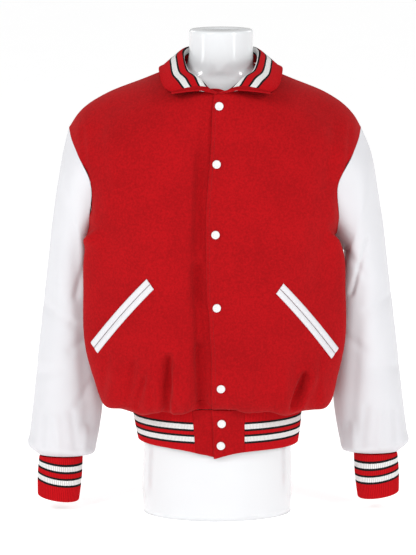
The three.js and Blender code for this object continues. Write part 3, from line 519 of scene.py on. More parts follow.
def finish_piece(piece, material, nodes):
    piece.data.materials.append(material)
    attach(piece, "root")
    if nodes:
        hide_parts(*nodes)
    return piece


def facing_of(points, reference):
    """1 where a grid's faces already look along the reference directions, and -1 elsewhere."""
    normals = grid_normals(points, 1)
    return 1 if float((normals * reference).sum(axis=2).mean()) > 0 else -1


def cut_lengths(points):
    """Each point's distance across and up its own sheet, in metres."""
    return np.stack([run_lengths(points, 1), run_lengths(points, 0)], axis=2) * MM


def edged(points, facing, radius, sides, closed=False):
    """Turns a sheet's edges in. sides names the ones that turn: left, right, bottom and top."""
    across = run_lengths(points, 1)
    up = run_lengths(points, 0)
    distances = {"left": across, "right": across[:, -1:] - across, "bottom": up, "top": up[-1:] - up}
    drop = sum(edge_roll(distances[side], radius) for side in sides)
    normals = grid_normals(points, facing, closed)
    return points - normals * np.minimum(drop, radius)[..., None]


def creased(points, facing, creases, front_facing, closed=False):
    """Adds fine creases, which are seen from the front or from the back."""
    normals = grid_normals(points, facing, closed)
    up = run_lengths(points, 0)
    away = smooth(np.minimum(up, up[-1:] - up), 0, CREASE_EASE)
    height = fold_height(creases, points[..., 0], points[..., 2]) * away
    seen = smooth(normals[..., 1] * (-1 if front_facing else 1), -0.15, 0.25)
    return points + normals * (height * seen)[..., None]


# Fine creases: from x, z, to x, z, half width, height
FRONT_CREASES = {
    "right": [
        (-90, 290, -74, 216, 4, -3), (-80, 288, -66, 222, 6, 2), (-148, 300, -160, 212, 6, -2.5),
        (-120, 262, -112, 206, 5, -2), (-44, 262, -40, 208, 6, -2.5), (-196, 300, -206, 222, 7, -2),
        (-240, 700, -226, 560, 6, -2.5), (-205, 700, -196, 600, 9, -2), (-30, 640, -33, 300, 5, -1.2),
        (-60, 700, -120, 640, 18, -2), (-150, 560, -196, 500, 12, -2.2), (-120, 500, -190, 470, 14, -1.6),
        (-30, 660, -36, 500, 9, -5), (-35, 460, -32, 350, 11, -9), (-30, 320, -27, 216, 11, -14),
        (-86, 300, -90, 208, 7, -11), (-75, 270, -78, 208, 6, 5), (-106, 262, -107, 208, 7, 3),
        (-128, 280, -136, 208, 6, -3), (-134, 262, -146, 212, 6, -6),
    ],
    "left": [
        (153, 268, 137, 222, 4, -3), (164, 280, 150, 214, 6, 2), (112, 280, 104, 208, 5, -2.5),
        (72, 270, 66, 208, 6, -2), (34, 262, 32, 208, 6, -2), (186, 300, 178, 214, 6, -2.5),
        (238, 705, 224, 560, 6, -2.5), (206, 700, 196, 600, 9, -2), (150, 570, 196, 508, 12, -2.4),
        (120, 520, 190, 474, 14, -1.6), (70, 690, 130, 640, 18, -2),
        (157, 266, 138, 212, 6, -12), (168, 258, 152, 212, 8, 6), (118, 250, 116, 210, 9, 3),
        (-7, 730, -8, 212, 9, 2.2), (-16, 420, -15, 230, 7, 2),
    ],
}
BACK_CREASES = [
    (-186, 690, -170, 540, 9, -2.5), (188, 690, 172, 530, 9, -2.5), (-190, 500, -120, 540, 14, -2.2),
    (190, 500, 116, 548, 14, -2.2), (-134, 300, -142, 210, 5, -2.5), (-88, 280, -90, 210, 6, 2),
    (-40, 300, -44, 208, 6, -2.2), (8, 270, 6, 208, 5, -2.4), (52, 310, 60, 208, 6, -2),
    (96, 280, 104, 208, 5, 2), (132, 300, 146, 210, 6, -2.6), (-60, 770, 60, 772, 12, -1.6),
]
SLEEVE_CREASES = {
    "right": {
        "front": [
            (-258, 560, -231, 160, 13, -4), (-300, 600, -282, 420, 12, 2.5), (-318, 380, -262, 350, 9, -2.4),
            (-228, 470, -252, 400, 8, -3), (-214, 330, -262, 300, 9, -2.4), (-328, 250, -280, 262, 10, -2),
            (-262, 180, -254, 118, 8, -2.6), (-290, 170, -286, 116, 7, 2.4), (-314, 176, -318, 120, 7, -2.4),
            (-236, 150, -240, 112, 6, 2), (-296, 660, -300, 540, 14, -2), (-222, 240, -250, 200, 8, -2),
        ],
        "back": [
            (-250, 560, -240, 200, 16, -4), (-316, 420, -250, 380, 10, -2.8), (-322, 340, -260, 318, 9, -2.6),
            (-326, 262, -262, 250, 10, -2.4), (-268, 180, -262, 118, 7, -2.4),
            (-300, 176, -302, 118, 7, -2.4),
            (-290, 640, -284, 520, 13, -2.4), (-236, 150, -240, 112, 6, 2),
        ],
    },
    "left": {
        "front": [
            (268, 500, 240, 404, 5, -3.6), (256, 410, 242, 160, 14, -3.6), (300, 610, 290, 430, 12, 2.5),
            (322, 400, 270, 372, 9, -2.4), (220, 330, 262, 300, 9, -2.2), (334, 262, 290, 270, 10, -2),
            (268, 190, 262, 122, 8, -2.6), (296, 176, 292, 122, 7, 2.4), (322, 184, 326, 126, 7, -2.4),
            (244, 158, 248, 118, 6, 2), (232, 480, 262, 440, 8, -2.4), (280, 680, 290, 560, 14, -2),
        ],
        "back": [
            (256, 560, 246, 200, 16, -4), (320, 430, 256, 392, 10, -2.8), (328, 350, 266, 326, 9, -2.6),
            (332, 270, 268, 258, 10, -2.4), (274, 186, 268, 124, 7, -2.4), (306, 182, 308, 124, 7, -2.4),
            (296, 640, 290, 520, 13, -2.4),
        ],
    },
}
EDGE_STEPS = (0, 0.4, 0.9, 1.7, 3)


def refined(points, across, up):
    """A dense grid moved to even stations both ways, with a few close to its edges."""
    rows = respaced(points, across, EDGE_STEPS)
    return respaced(rows.transpose(1, 0, 2), up, EDGE_STEPS).transpose(1, 0, 2)


def eased_armhole(points, side):
    """Moves the side edge out round the armhole's lowest point."""
    height, half, most = ARMHOLE_LOW[side]
    near = np.exp(-((points[..., 2] - height) / half) ** 2)
    outer = smooth(np.abs(points[..., 0]), *ARMHOLE_EASE)
    moved = points.copy()
    moved[..., 0] += np.sign(points[..., 0]) * most * near * outer
    return moved


def build_front(side, sizes):
    points = refined(front_dense(side, 160, 240), 110, 190)
    points = eased_armhole(points, side)
    if side == "right":
        points = points[:, ::-1]
    facing = facing_of(points, np.array([0, -1, 0]))
    points = creased(points, facing, FRONT_CREASES[side], True)
    seam, opening = ("left", "right") if side == "right" else ("right", "left")
    points = edged(points, facing, sizes.melton_thick / MM * 0.8, (opening, "bottom", "top"))
    points = edged(points, facing, 0.5, (seam,))
    piece = sheet_mesh(f"melton_front_{side}", points, cut_lengths(points), facing)
    wall(piece, sizes.melton_thick / MM)
    return piece


def build_back(sizes):
    points = refined(back_dense(120, 240), 210, 190)[:, ::-1]
    facing = facing_of(points, np.array([0, 1, 0]))
    points = creased(points, facing, BACK_CREASES, False)
    points = edged(points, facing, sizes.melton_thick / MM * 0.8, ("bottom", "top"))
    points = edged(points, facing, 0.5, ("left", "right"))
    piece = sheet_mesh("melton_back", points, cut_lengths(points), facing)
    wall(piece, sizes.melton_thick / MM)
    return piece


def build_sleeve(side, sizes):
    rings = sleeve_dense(side, 180, 240)
    points = respaced(rings.transpose(1, 0, 2), 190, EDGE_STEPS).transpose(1, 0, 2)
    centre = points.mean(axis=1, keepdims=True)
    facing = facing_of(points, points - centre)
    points = creased(points, facing, SLEEVE_CREASES[side]["front"], True, True)
    points = creased(points, facing, SLEEVE_CREASES[side]["back"], False, True)
    points = edged(points, facing, sizes.sleeve_thick / MM, ("top",), True)
    points[:, -1] = points[:, 0]
    piece = sheet_mesh(f"sleeve_cloth_{side}", points, cut_lengths(points), facing, True)
    wall(piece, sizes.sleeve_thick / MM)
    return piece


def rib_depth(t, ribs, deep):
    """How far a rib knit's face lies back between its ribs."""
    return deep * (0.5 - 0.5 * np.cos(2 * np.pi * ribs * t)) ** 0.8


def build_cuff(side, sizes):
    sign = SIDES[side]
    shift_x, shift_z = SLEEVE_SHIFT[side]
    round_mm = math.pi * (CUFF_TOP[3] + CUFF_TOP[4])
    ribs = 3 * round(round_mm / (sizes.rib_pitch / MM) / 3)
    t = np.linspace(0, 1, ribs * 6 + 1)
    k = np.concatenate([[0, 0.006, 0.014, 0.03], np.linspace(0.08, 0.92, 14), [0.97, 0.986, 0.994, 1]])
    ts, ks = np.meshgrid(t, k)
    lip = edge_roll(np.minimum(ks, 1 - ks) * 75, 2.2) * 0.8
    depth = rib_depth(ts, ribs, sizes.rib_deep / MM) + lip
    belly = 1.6 * np.sin(np.pi * ks)
    wide = CUFF_BOTTOM[3] + (CUFF_TOP[3] - CUFF_BOTTOM[3]) * ks + belly - depth
    deep = CUFF_BOTTOM[4] + (CUFF_TOP[4] - CUFF_BOTTOM[4]) * ks + belly - depth
    angle = 2 * np.pi * ts
    x = sign * (CUFF_BOTTOM[0] + (CUFF_TOP[0] - CUFF_BOTTOM[0]) * ks + shift_x) + wide * np.cos(angle)
    y = CUFF_BOTTOM[1] + (CUFF_TOP[1] - CUFF_BOTTOM[1]) * ks + deep * np.sin(angle)
    lift = CUFF_TILT[0] * sign * np.cos(angle) + CUFF_TILT[1] * np.sin(angle)
    z = CUFF_BOTTOM[2] + (CUFF_TOP[2] - CUFF_BOTTOM[2]) * ks + shift_z + (1 - ks) * lift
    points = np.stack([x, y, z], axis=2)
    points[:, -1] = points[:, 0]
    outward = sign * np.cos(angle)
    across = CUFF_PULL[0] * outward + CUFF_PULL[1] * outward**2 - CUFF_PULL[2]
    pulled = across * np.sin(np.pi * (0.25 + 0.75 * (1 - ks)))
    down = (1 - ks) * (CUFF_TOP[2] - CUFF_BOTTOM[2]) + pulled
    uv = np.stack([ts * ribs * sizes.rib_pitch, down * MM], axis=2)
    facing = facing_of(points, points - points.mean(axis=1, keepdims=True))
    piece = sheet_mesh(f"rib_cuff_{side}", points, uv, facing, True)
    wall(piece, sizes.rib_thick / MM - sizes.rib_deep / MM)
    return piece


def build_band(sizes):
    start = math.asin(TAB_LEFT / BAND_WIDE) + 0.003
    end = 2 * math.pi + math.asin(TAB_RIGHT / BAND_WIDE) - 0.003
    fine = np.linspace(start, end, 2000)
    line = band_point(fine, np.full(len(fine), BAND_TOP), 0)
    run = np.concatenate([[0], np.cumsum(np.linalg.norm(np.diff(line, axis=0), axis=1))])
    ribs = 4 * round(run[-1] / (sizes.rib_pitch / MM) / 4)
    t = np.linspace(0, 1, ribs * 4 + 1)
    angle = np.interp(t * run[-1], run, fine)
    k = np.concatenate([[0, 0.006, 0.014, 0.03], np.linspace(0.08, 0.92, 12), [0.97, 0.986, 0.994, 1]])
    angles, ks = np.meshgrid(angle, k)
    ts = np.meshgrid(t, k)[0]
    low = hem_z(BAND_WIDE * np.sin(angles), np.cos(angles) > 0)
    z = low + (BAND_TOP - low) * ks
    lip = edge_roll(np.minimum(ks, 1 - ks) * 77, 2.2) * 0.8
    depth = rib_depth(ts, ribs, sizes.rib_deep / MM) + lip - 1.2 * np.sin(np.pi * ks)
    points = band_point(angles, z, depth)
    uv = np.stack([ts * ribs * sizes.rib_pitch, (BAND_TOP - z) * MM], axis=2)
    facing = facing_of(points, points - points.mean(axis=(0, 1)))
    piece = sheet_mesh("rib_waistband", points, uv, facing)
    wall(piece, sizes.rib_thick / MM - sizes.rib_deep / MM)
    return piece


def build_collar(sizes):
    long_mm = 470
    ribs = 2 * round(long_mm / (sizes.rib_pitch / MM) / 2)
    t = np.linspace(0, 1, ribs * 4 + 1)
    k = np.linspace(0, 1, 44)
    ts, ks = np.meshgrid(t, k)
    flat = collar_face(ts.ravel(), ks.ravel(), np.zeros(ts.size)).reshape(*ts.shape, 3)
    along = run_lengths(flat, 1)
    up = run_lengths(flat, 0)
    end_distance = np.minimum(along, along[:, -1:] - along)
    lip = edge_roll(np.minimum(end_distance, up[-1:] - up), 2.4) * 0.8
    depth = rib_depth(ts, ribs, sizes.rib_deep / MM) + lip
    points = collar_face(ts.ravel(), ks.ravel(), depth.ravel()).reshape(*ts.shape, 3)
    uv = np.stack([ts * ribs * sizes.rib_pitch, up * 83 / up[-1:] * MM], axis=2)
    normals = np.cross(np.gradient(points, axis=0), np.gradient(points, axis=1))
    middle = points.shape[1] // 2
    facing = -1 if normals[-4, middle, 1] > 0 else 1
    piece = sheet_mesh("rib_collar", points, uv, facing)
    wall(piece, sizes.rib_thick / MM - sizes.rib_deep / MM)
    return piece


def build_tab(side, sizes):
    placket = float(by_height(PLACKET_ROWS, BAND_TOP))
    low_x = placket if side == "left" else TAB_RIGHT
    high_x = TAB_LEFT - 0.1 if side == "left" else UNDER_REACH - 4
    count = 40
    xs, ks = np.meshgrid(np.linspace(low_x, high_x, count), np.linspace(0, 1, 46))
    under = UNDER_DEEP * smooth(xs - placket, -28, -10) if side == "right" else 0 * xs
    angles = np.arcsin(xs / BAND_WIDE)
    low = hem_z(xs, np.full(xs.shape, True))
    if side == "right":
        low = low + UNDER_TAB_RISE * smooth(xs, TAB_RIGHT, placket)
    points = band_point(angles, low + (BAND_TOP - low) * ks, under)
    points = refined(points, 34, 44)
    facing = facing_of(points, np.array([0, -1, 0]))
    points = edged(points, facing, sizes.melton_thick / MM * 0.8, ("left", "right", "bottom", "top"))
    piece = sheet_mesh(f"melton_tab_{side}", points, cut_lengths(points), facing)
    wall(piece, sizes.melton_thick / MM)
    return piece


def build_form():
    share = np.linspace(0, 1, 150)
    heights = spline(FORM_ROWS[:, [0, 1, 2]], share)
    middles = spline(FORM_ROWS[:, [0, 3, 4]], share)
    angle = np.linspace(0, 2 * np.pi, 97)
    x = middles[:, 2][:, None] + heights[:, 1][:, None] * np.cos(angle)
    y = middles[:, 1][:, None] + heights[:, 2][:, None] * np.sin(angle)
    z = np.repeat(heights[:, 0][:, None], len(angle), axis=1)
    points = np.stack([x, y, z], axis=2)
    points[:, -1] = points[:, 0]
    facing = facing_of(points, points - points.mean(axis=1, keepdims=True))
    piece = sheet_mesh("form_shell", points, cut_lengths(points), facing, True)
    bm = bmesh.new()
    bm.from_mesh(piece.data)
    caps = bmesh.ops.holes_fill(bm, edges=[e for e in bm.edges if e.is_boundary], sides=0)["faces"]
    top = [face for face in caps if face.calc_center_median().z > 0.5]
    bmesh.ops.inset_region(bm, faces=top, thickness=0.0012, depth=0.0006)
    bmesh.ops.inset_region(bm, faces=top, thickness=0.0495, depth=0.0004)
    bmesh.ops.inset_region(bm, faces=top, thickness=0.0006, depth=-0.006)
    for face in top:
        face.material_index = 1
    bmesh.ops.recalc_face_normals(bm, faces=bm.faces[:])
    bm.to_mesh(piece.data)
    bm.free()
    return piece


def front_tree(piece):
    """A search tree over a front's outer face."""
    bm = bmesh.new()
    bm.from_mesh(piece.data)
    tree = BVHTree.FromBMesh(bm)
    bm.free()
    return tree


def place_on_front(tree, x, z):
    """Where a line from the front meets the cloth, and the way it faces there."""
    place, normal, _, _ = tree.ray_cast(Vector((x * MM, -1, z * MM)), Vector((0, 1, 0)))
    if place is None:
        raise ValueError(f"no cloth is seen from the front at {x}, {z}")
    if normal.y > 0:
        normal = -normal
    return place / MM, normal


def build_snap(index, seat, normal, radius):
    """A snap cap: a low disc with a raised rim round a flat middle."""
    outline = [
        (0.05, 1.55), (3.7, 1.55), (4.3, 1.62), (4.7, 1.95), (5.2, 2.3), (5.8, 2.45), (radius - 0.9, 2.3),
        (radius - 0.3, 1.85), (radius, 1.1), (radius - 0.1, 0.45), (radius - 0.7, 0.05), (0.05, 0.05),
    ]
    bm = bmesh.new()
    verts = [bm.verts.new((r * MM, 0, h * MM)) for r, h in outline]
    edges = [bm.edges.new(pair) for pair in zip(verts, verts[1:])]
    bmesh.ops.spin(
        bm, geom=verts + edges, cent=(0, 0, 0), axis=(0, 0, 1), angle=2 * math.pi, steps=40, use_merge=True
    )
    bmesh.ops.remove_doubles(bm, verts=bm.verts[:], dist=JOIN_WITHIN)
    bmesh.ops.holes_fill(bm, edges=[e for e in bm.edges if e.is_boundary], sides=0)
    bmesh.ops.recalc_face_normals(bm, faces=bm.faces[:])
    turn = Vector((0, 0, 1)).rotation_difference(normal).to_matrix().to_4x4()
    place = Vector(seat) * MM + normal * 0.0003
    bmesh.ops.transform(bm, matrix=Matrix.Translation(place) @ turn, verts=bm.verts[:])
    for face in bm.faces:
        face.smooth = True
    mesh = bpy.data.meshes.new(f"snap_cap_{index}")
    bm.to_mesh(mesh)
    bm.free()
    piece = bpy.data.objects.new(f"snap_cap_{index}", mesh)
    bpy.context.scene.collection.objects.link(piece)
    return piece


def welt_points(tree, side, place, sizes):
    """Points over a pocket welt's outer face, a row for each station along its length."""
    inner, outer = POCKET_ENDS[side]
    along = Vector((outer[0] - inner[0], outer[1] - inner[1])).normalized()
    across = Vector((along.y, -along.x)) * (-1 if place == "upper" else 1)
    if (place == "upper") != (across.y > 0):
        across.negate()
    bow = 3
    wide = sizes.welt_wide / MM
    long = sizes.welt_long / MM
    slit = 0.5
    stations = []
    for c in [0, 0.004, 0.012, 0.03, *np.linspace(0.06, 0.94, 46), 0.97, 0.988, 0.996, 1]:
        row = []
        for r in np.linspace(0, 1, 13):
            bowed = bow * (1 - (2 * c - 1) ** 2) * (-1 if place == "upper" else 1)
            off = slit / 2 + r * wide - bowed
            at = long * c + WELT_SLANT * off * (-1 if place == "upper" else 1)
            x = SIDES[side] * (inner[0] + along.x * at + across.x * off)
            z = inner[1] + along.y * at + across.y * off
            seat, normal = place_on_front(tree, x + float(sway(z)), z)
            end = min(c, 1 - c) * long
            round_end = math.sqrt(max(0, 1 - (1 - min(end / 2.4, 1)) ** 2))
            crown = 0.35 + (0.5 + 2 * math.sin(math.pi * r) ** 0.6) * (0.25 + 0.75 * round_end)
            pinch = 0.12 * math.sin(c * 61 + r * 3) * math.sin(math.pi * r)
            row.append(np.array(seat) + np.array(normal) * (crown + pinch))
        stations.append(row)
    return np.array(stations)


def build_welt(tree, side, place, sizes):
    points = welt_points(tree, side, place, sizes)
    facing = facing_of(points, np.array([0, -1, 0]))
    piece = sheet_mesh(f"welt_{side}_{place}", points, cut_lengths(points), facing)
    wall(piece, 0.8)
    return piece


def build_stitches(name, paths, pitch, long, radius):
    """A row of sewn stitches along each path of places and the ways they face."""
    bm = bmesh.new()
    for places, normals in paths:
        run = np.concatenate([[0], np.cumsum(np.linalg.norm(np.diff(places, axis=0), axis=1))])
        for at in np.arange(pitch / 2, run[-1], pitch):
            spans = (at - long / 2, at + long / 2)
            ends = [np.array([np.interp(span, run, places[:, k]) for k in range(3)]) for span in spans]
            normal = Vector([np.interp(at, run, normals[:, k]) for k in range(3)]).normalized()
            direction = Vector(ends[1] - ends[0]).normalized()
            side = direction.cross(normal).normalized()
            middle = Vector((ends[0] + ends[1]) / 2) * MM + normal * radius * MM * 0.35
            frame_axes = Matrix((direction, side, normal)).transposed().to_4x4()
            size = Matrix.Diagonal((long / 2 * MM, radius * MM, radius * MM, 1))
            placing = Matrix.Translation(middle) @ frame_axes @ size
            bmesh.ops.create_uvsphere(bm, u_segments=6, v_segments=4, radius=1, matrix=placing)
    for face in bm.faces:
        face.smooth = True
    mesh = bpy.data.meshes.new(name)
    bm.to_mesh(mesh)
    bm.free()
    piece = bpy.data.objects.new(name, mesh)
    bpy.context.scene.collection.objects.link(piece)
    return piece


def add_node(tree, kind, inputs=None, **settings):
    """A shader node with its settings, and with inputs that are values or other nodes' outputs."""
    made = tree.nodes.new(kind)
    for key, value in settings.items():
        setattr(made, key, value)
    for key, value in (inputs or {}).items():
        socket = made.inputs[key]
        if isinstance(value, bpy.types.NodeSocket):
            tree.links.new(value, socket)
        else:
            socket.default_value = value
    return made


def math_node(tree, operation, *values):
    return add_node(tree, "ShaderNodeMath", dict(enumerate(values)), operation=operation).outputs[0]


def colour_between(tree, share, low, high):
    """The colour from low to high by a share."""
    inputs = {"Factor": share}
    mix = add_node(tree, "ShaderNodeMix", inputs, data_type="RGBA")
    for index, value in ((6, low), (7, high)):
        if isinstance(value, bpy.types.NodeSocket):
            tree.links.new(value, mix.inputs[index])
        else:
            mix.inputs[index].default_value = (*value[:3], 1)
    return mix.outputs[2]


def noise(tree, place, scale, detail=2, roughness=0.5):
    inputs = {"Vector": place, "Scale": scale, "Detail": detail, "Roughness": roughness}
    made = add_node(tree, "ShaderNodeTexNoise", inputs)
    return made.outputs["Fac"]


def eased(tree, value, low, high):
    made = add_node(
        tree, "ShaderNodeMapRange", {"Value": value, "From Min": low, "From Max": high},
        interpolation_type="SMOOTHSTEP"
    )
    return made.outputs["Result"]


def bumped(tree, shader, heights):
    """Joins bumps in turn: each is a height, its strength and its depth in metres."""
    normal = None
    for height, strength, distance in heights:
        inputs = {"Height": height, "Strength": strength, "Distance": distance}
        if normal is not None:
            inputs["Normal"] = normal
        normal = add_node(tree, "ShaderNodeBump", inputs).outputs["Normal"]
    tree.links.new(normal, shader.inputs["Normal"])


def new_material(name):
    material = bpy.data.materials.new(name)
    material.use_nodes = True
    return material, material.node_tree, material.node_tree.nodes["Principled BSDF"]


def darker(colour, share):
    return tuple(c * share for c in colour[:3])


def wool_melton(colours):
    """Brushed and felted wool: soft mottling, a fibre nap and a little sheen."""
    material, tree, shader = new_material("wool_melton")
    place = add_node(tree, "ShaderNodeTexCoord").outputs["Object"]
    mottled = noise(tree, place, 260, 4, 0.62)
    cloudy = noise(tree, place, 16, 2)
    mottled_share = math_node(tree, "MULTIPLY", mottled, 0.75)
    cloudy_share = math_node(tree, "MULTIPLY", cloudy, 0.25)
    shade = eased(tree, math_node(tree, "ADD", mottled_share, cloudy_share), 0.34, 0.66)
    colour = colour_between(tree, shade, darker(colours.wool, 0.82), darker(colours.wool, 1.12))
    tree.links.new(colour, shader.inputs["Base Color"])
    shader.inputs["Roughness"].default_value = 0.94
    shader.inputs["Specular IOR Level"].default_value = 0.1
    shader.inputs["Sheen Weight"].default_value = 0.09
    shader.inputs["Sheen Roughness"].default_value = 0.45
    shader.inputs["Sheen Tint"].default_value = (1, 0.45, 0.42, 1)
    stretched = add_node(tree, "ShaderNodeMapping", {"Vector": place, "Scale": (1, 1, 0.4)}).outputs["Vector"]
    fibres = noise(tree, stretched, 1500, 3, 0.6)
    nap = noise(tree, place, 420, 4, 0.6)
    bumped(tree, shader, [(nap, 0.35, 0.0006), (fibres, 0.4, 0.0003)])
    return material


# Stripes of the rib knit, by their distance from the seam in millimetres: where each begins, and its yarn
BAND_STRIPES = [
    (0, "red"), (22.9, "black"), (26.8, "white"), (35.9, "black"), (39.8, "red"), (45.9, "black"),
    (49.8, "white"),
    (58.9, "black"), (62.8, "red"),
]
CUFF_STRIPES = [
    (0, "red"), (9, "black"), (12.8, "white"), (21, "black"), (24.8, "red"), (32.4, "black"), (36.2, "white"),
    (44.6, "black"), (48.4, "red"),
]
COLLAR_STRIPES = [
    (0, "red"), (15, "black"), (18.6, "white"), (28.4, "black"), (32, "red"), (42.6, "black"),
    (46.2, "white"),
    (56.4, "black"), (60, "red"),
]
STRIPE_SPAN = 90


def rib_knit(name, stripes, colours, pitch, shaded_plain_end=None):
    """Rib knit with striped yarns and painted shade between its ribs. Its map counts ribs across and the
    distance from the seam up.
    """
    material, tree, shader = new_material(name)
    cut = add_node(tree, "ShaderNodeUVMap", uv_map="cut").outputs["UV"]
    parts = add_node(tree, "ShaderNodeSeparateXYZ", {"Vector": cut})
    rib = math_node(tree, "FRACT", math_node(tree, "DIVIDE", parts.outputs["X"], pitch))
    off_centre = math_node(tree, "ABSOLUTE", math_node(tree, "SUBTRACT", rib, 0.5))
    place = add_node(tree, "ShaderNodeTexCoord").outputs["Object"]
    ragged = math_node(tree, "MULTIPLY", math_node(tree, "SUBTRACT", noise(tree, place, 700, 2), 0.5), 0.0011)
    share = math_node(tree, "DIVIDE", math_node(tree, "ADD", parts.outputs["Y"], ragged), STRIPE_SPAN * MM)
    ramp = add_node(tree, "ShaderNodeValToRGB", {"Fac": share})
    ramp.color_ramp.interpolation = "CONSTANT"
    yarns = {"red": colours.rib, "white": colours.stripe, "black": colours.edging}
    elements = ramp.color_ramp.elements
    elements[0].position = 0
    elements[0].color = (*yarns[stripes[0][1]][:3], 1)
    elements[1].position = stripes[1][0] / STRIPE_SPAN
    elements[1].color = (*yarns[stripes[1][1]][:3], 1)
    for start, yarn in stripes[2:]:
        element = elements.new(start / STRIPE_SPAN)
        element.color = (*yarns[yarn][:3], 1)
    colour = ramp.outputs["Color"]
    # The collar's short ends are plain red without stripes, darkened as painted shade of the turned end's
    # edge.
    if shaded_plain_end is not None:
        from_middle = math_node(tree, "SUBTRACT", parts.outputs["X"], shaded_plain_end[0])
        ribs_from_middle = math_node(tree, "ABSOLUTE", from_middle)
        in_shaded_end = math_node(tree, "GREATER_THAN", ribs_from_middle, shaded_plain_end[1])
        colour = colour_between(tree, in_shaded_end, colour, darker(colours.rib, 0.72))
    # Painted shade: the knit's colour is darkened in the furrows between its ribs, then mottled at random.
    on_rib = eased(tree, off_centre, 0, 0.3)
    mottled = noise(tree, place, 500, 3)
    furrow_shade = math_node(tree, "ADD", 0.62, math_node(tree, "MULTIPLY", on_rib, 0.38))
    cloud_tone = math_node(tree, "ADD", 0.84, math_node(tree, "MULTIPLY", mottled, 0.32))
    furrow_shade_and_mottle = math_node(tree, "MULTIPLY", furrow_shade, cloud_tone)
    shaded = add_node(tree, "ShaderNodeMix", {"Factor": 1.0}, data_type="RGBA", blend_type="MULTIPLY")
    tree.links.new(colour, shaded.inputs[6])
    tree.links.new(furrow_shade_and_mottle, shaded.inputs[7])
    tree.links.new(shaded.outputs[2], shader.inputs["Base Color"])
    shader.inputs["Roughness"].default_value = 0.9
    shader.inputs["Specular IOR Level"].default_value = 0.08
    shader.inputs["Sheen Weight"].default_value = 0.02
    shader.inputs["Sheen Roughness"].default_value = 0.5
    slant = math_node(tree, "MULTIPLY", off_centre, pitch * 1.4)
    course = math_node(tree, "DIVIDE", math_node(tree, "ADD", parts.outputs["Y"], slant), 0.0017)
    loops = math_node(tree, "SINE", math_node(tree, "MULTIPLY", course, 2 * math.pi))
    bumped(tree, shader, [(loops, 0.3, 0.00025), (noise(tree, place, 1600, 3), 0.3, 0.0002)])
    return material


def smooth_leather(name, colours, gloss=0.46):
    """Smooth coated cloth: a fine pebble and faint clouding."""
    material, tree, shader = new_material(name)
    place = add_node(tree, "ShaderNodeTexCoord").outputs["Object"]
    cloudy = eased(tree, noise(tree, place, 9, 3), 0.3, 0.7)
    colour = colour_between(tree, cloudy, darker(colours.sleeve, 0.965), colours.sleeve[:3])
    tree.links.new(colour, shader.inputs["Base Color"])
    spread = {"Value": noise(tree, place, 120, 3), "To Min": gloss - 0.05, "To Max": gloss + 0.08}
    rough = add_node(tree, "ShaderNodeMapRange", spread)
    tree.links.new(rough.outputs["Result"], shader.inputs["Roughness"])
    shader.inputs["Specular IOR Level"].default_value = 0.4
    pebble = add_node(tree, "ShaderNodeTexVoronoi", {"Vector": place, "Scale": 900}).outputs["Distance"]
    ripple = noise(tree, place, 55, 3)
    bumped(tree, shader, [(ripple, 0.12, 0.002), (pebble, 0.14, 0.00018)])
    return material


def snap_enamel(colours):
    """Enamelled cap: glossy, faintly uneven."""
    material, tree, shader = new_material("snap_enamel")
    place = add_node(tree, "ShaderNodeTexCoord").outputs["Object"]
    speck = eased(tree, noise(tree, place, 700, 3), 0.3, 0.7)
    tree.links.new(
        colour_between(tree, speck, darker(colours.snap, 0.93), colours.snap[:3]), shader.inputs["Base Color"]
    )
    shader.inputs["Roughness"].default_value = 0.28
    bumped(tree, shader, [(noise(tree, place, 300, 2), 0.1, 0.0003)])
    return material


def form_gloss(colours):
    """Moulded glossy white."""
    material, tree, shader = new_material("form_gloss")
    place = add_node(tree, "ShaderNodeTexCoord").outputs["Object"]
    cloudy = eased(tree, noise(tree, place, 7, 2), 0.3, 0.7)
    tree.links.new(
        colour_between(tree, cloudy, darker(colours.form, 0.98), colours.form[:3]),
        shader.inputs["Base Color"]
    )
    shader.inputs["Roughness"].default_value = 0.16
    shader.inputs["Coat Weight"].default_value = 0.4
    shader.inputs["Coat Roughness"].default_value = 0.06
    bumped(tree, shader, [(noise(tree, place, 18, 2), 0.04, 0.002)])
    return material


def socket_dark():
    material, tree, shader = new_material("socket_dark")
    place = add_node(tree, "ShaderNodeTexCoord").outputs["Object"]
    speck = noise(tree, place, 900, 2)
    colour = colour_between(tree, speck, (0.03, 0.03, 0.035), (0.06, 0.06, 0.07))
    tree.links.new(colour, shader.inputs["Base Color"])
    shader.inputs["Roughness"].default_value = 0.6
    return material


def sewing_thread(name, colour):
    """Twisted thread."""
    material, tree, shader = new_material(name)
    place = add_node(tree, "ShaderNodeTexCoord").outputs["Object"]
    twist = noise(tree, place, 1800, 2)
    tree.links.new(colour_between(tree, twist, darker(colour, 0.75), colour[:3]), shader.inputs["Base Color"])
    shader.inputs["Roughness"].default_value = 0.7
    bumped(tree, shader, [(twist, 0.5, 0.0002)])
    return material


def floor_paint():
    material, tree, shader = new_material("floor_paint")
    place = add_node(tree, "ShaderNodeTexCoord").outputs["Object"]
    faint = noise(tree, place, 3, 2)
    colour = colour_between(tree, faint, (0.93, 0.93, 0.93), (0.95, 0.95, 0.95))
    tree.links.new(colour, shader.inputs["Base Color"])
    shader.inputs["Roughness"].default_value = 0.9
    shader.inputs["Specular IOR Level"].default_value = 0.1
    shader.inputs["Emission Color"].default_value = (1, 1, 1, 1)
    shader.inputs["Emission Strength"].default_value = 0.42
    return material


def length_property(name, description, metres, low, high):
    return bpy.props.FloatProperty(
        name=name, description=description, default=metres, min=low, max=high,
        unit="LENGTH", subtype="DISTANCE", precision=5
    )


def colour_property(name, description, colour):
    return bpy.props.FloatVectorProperty(
        name=name, description=description, default=colour, min=0, max=1, size=3, subtype="COLOR"
    )


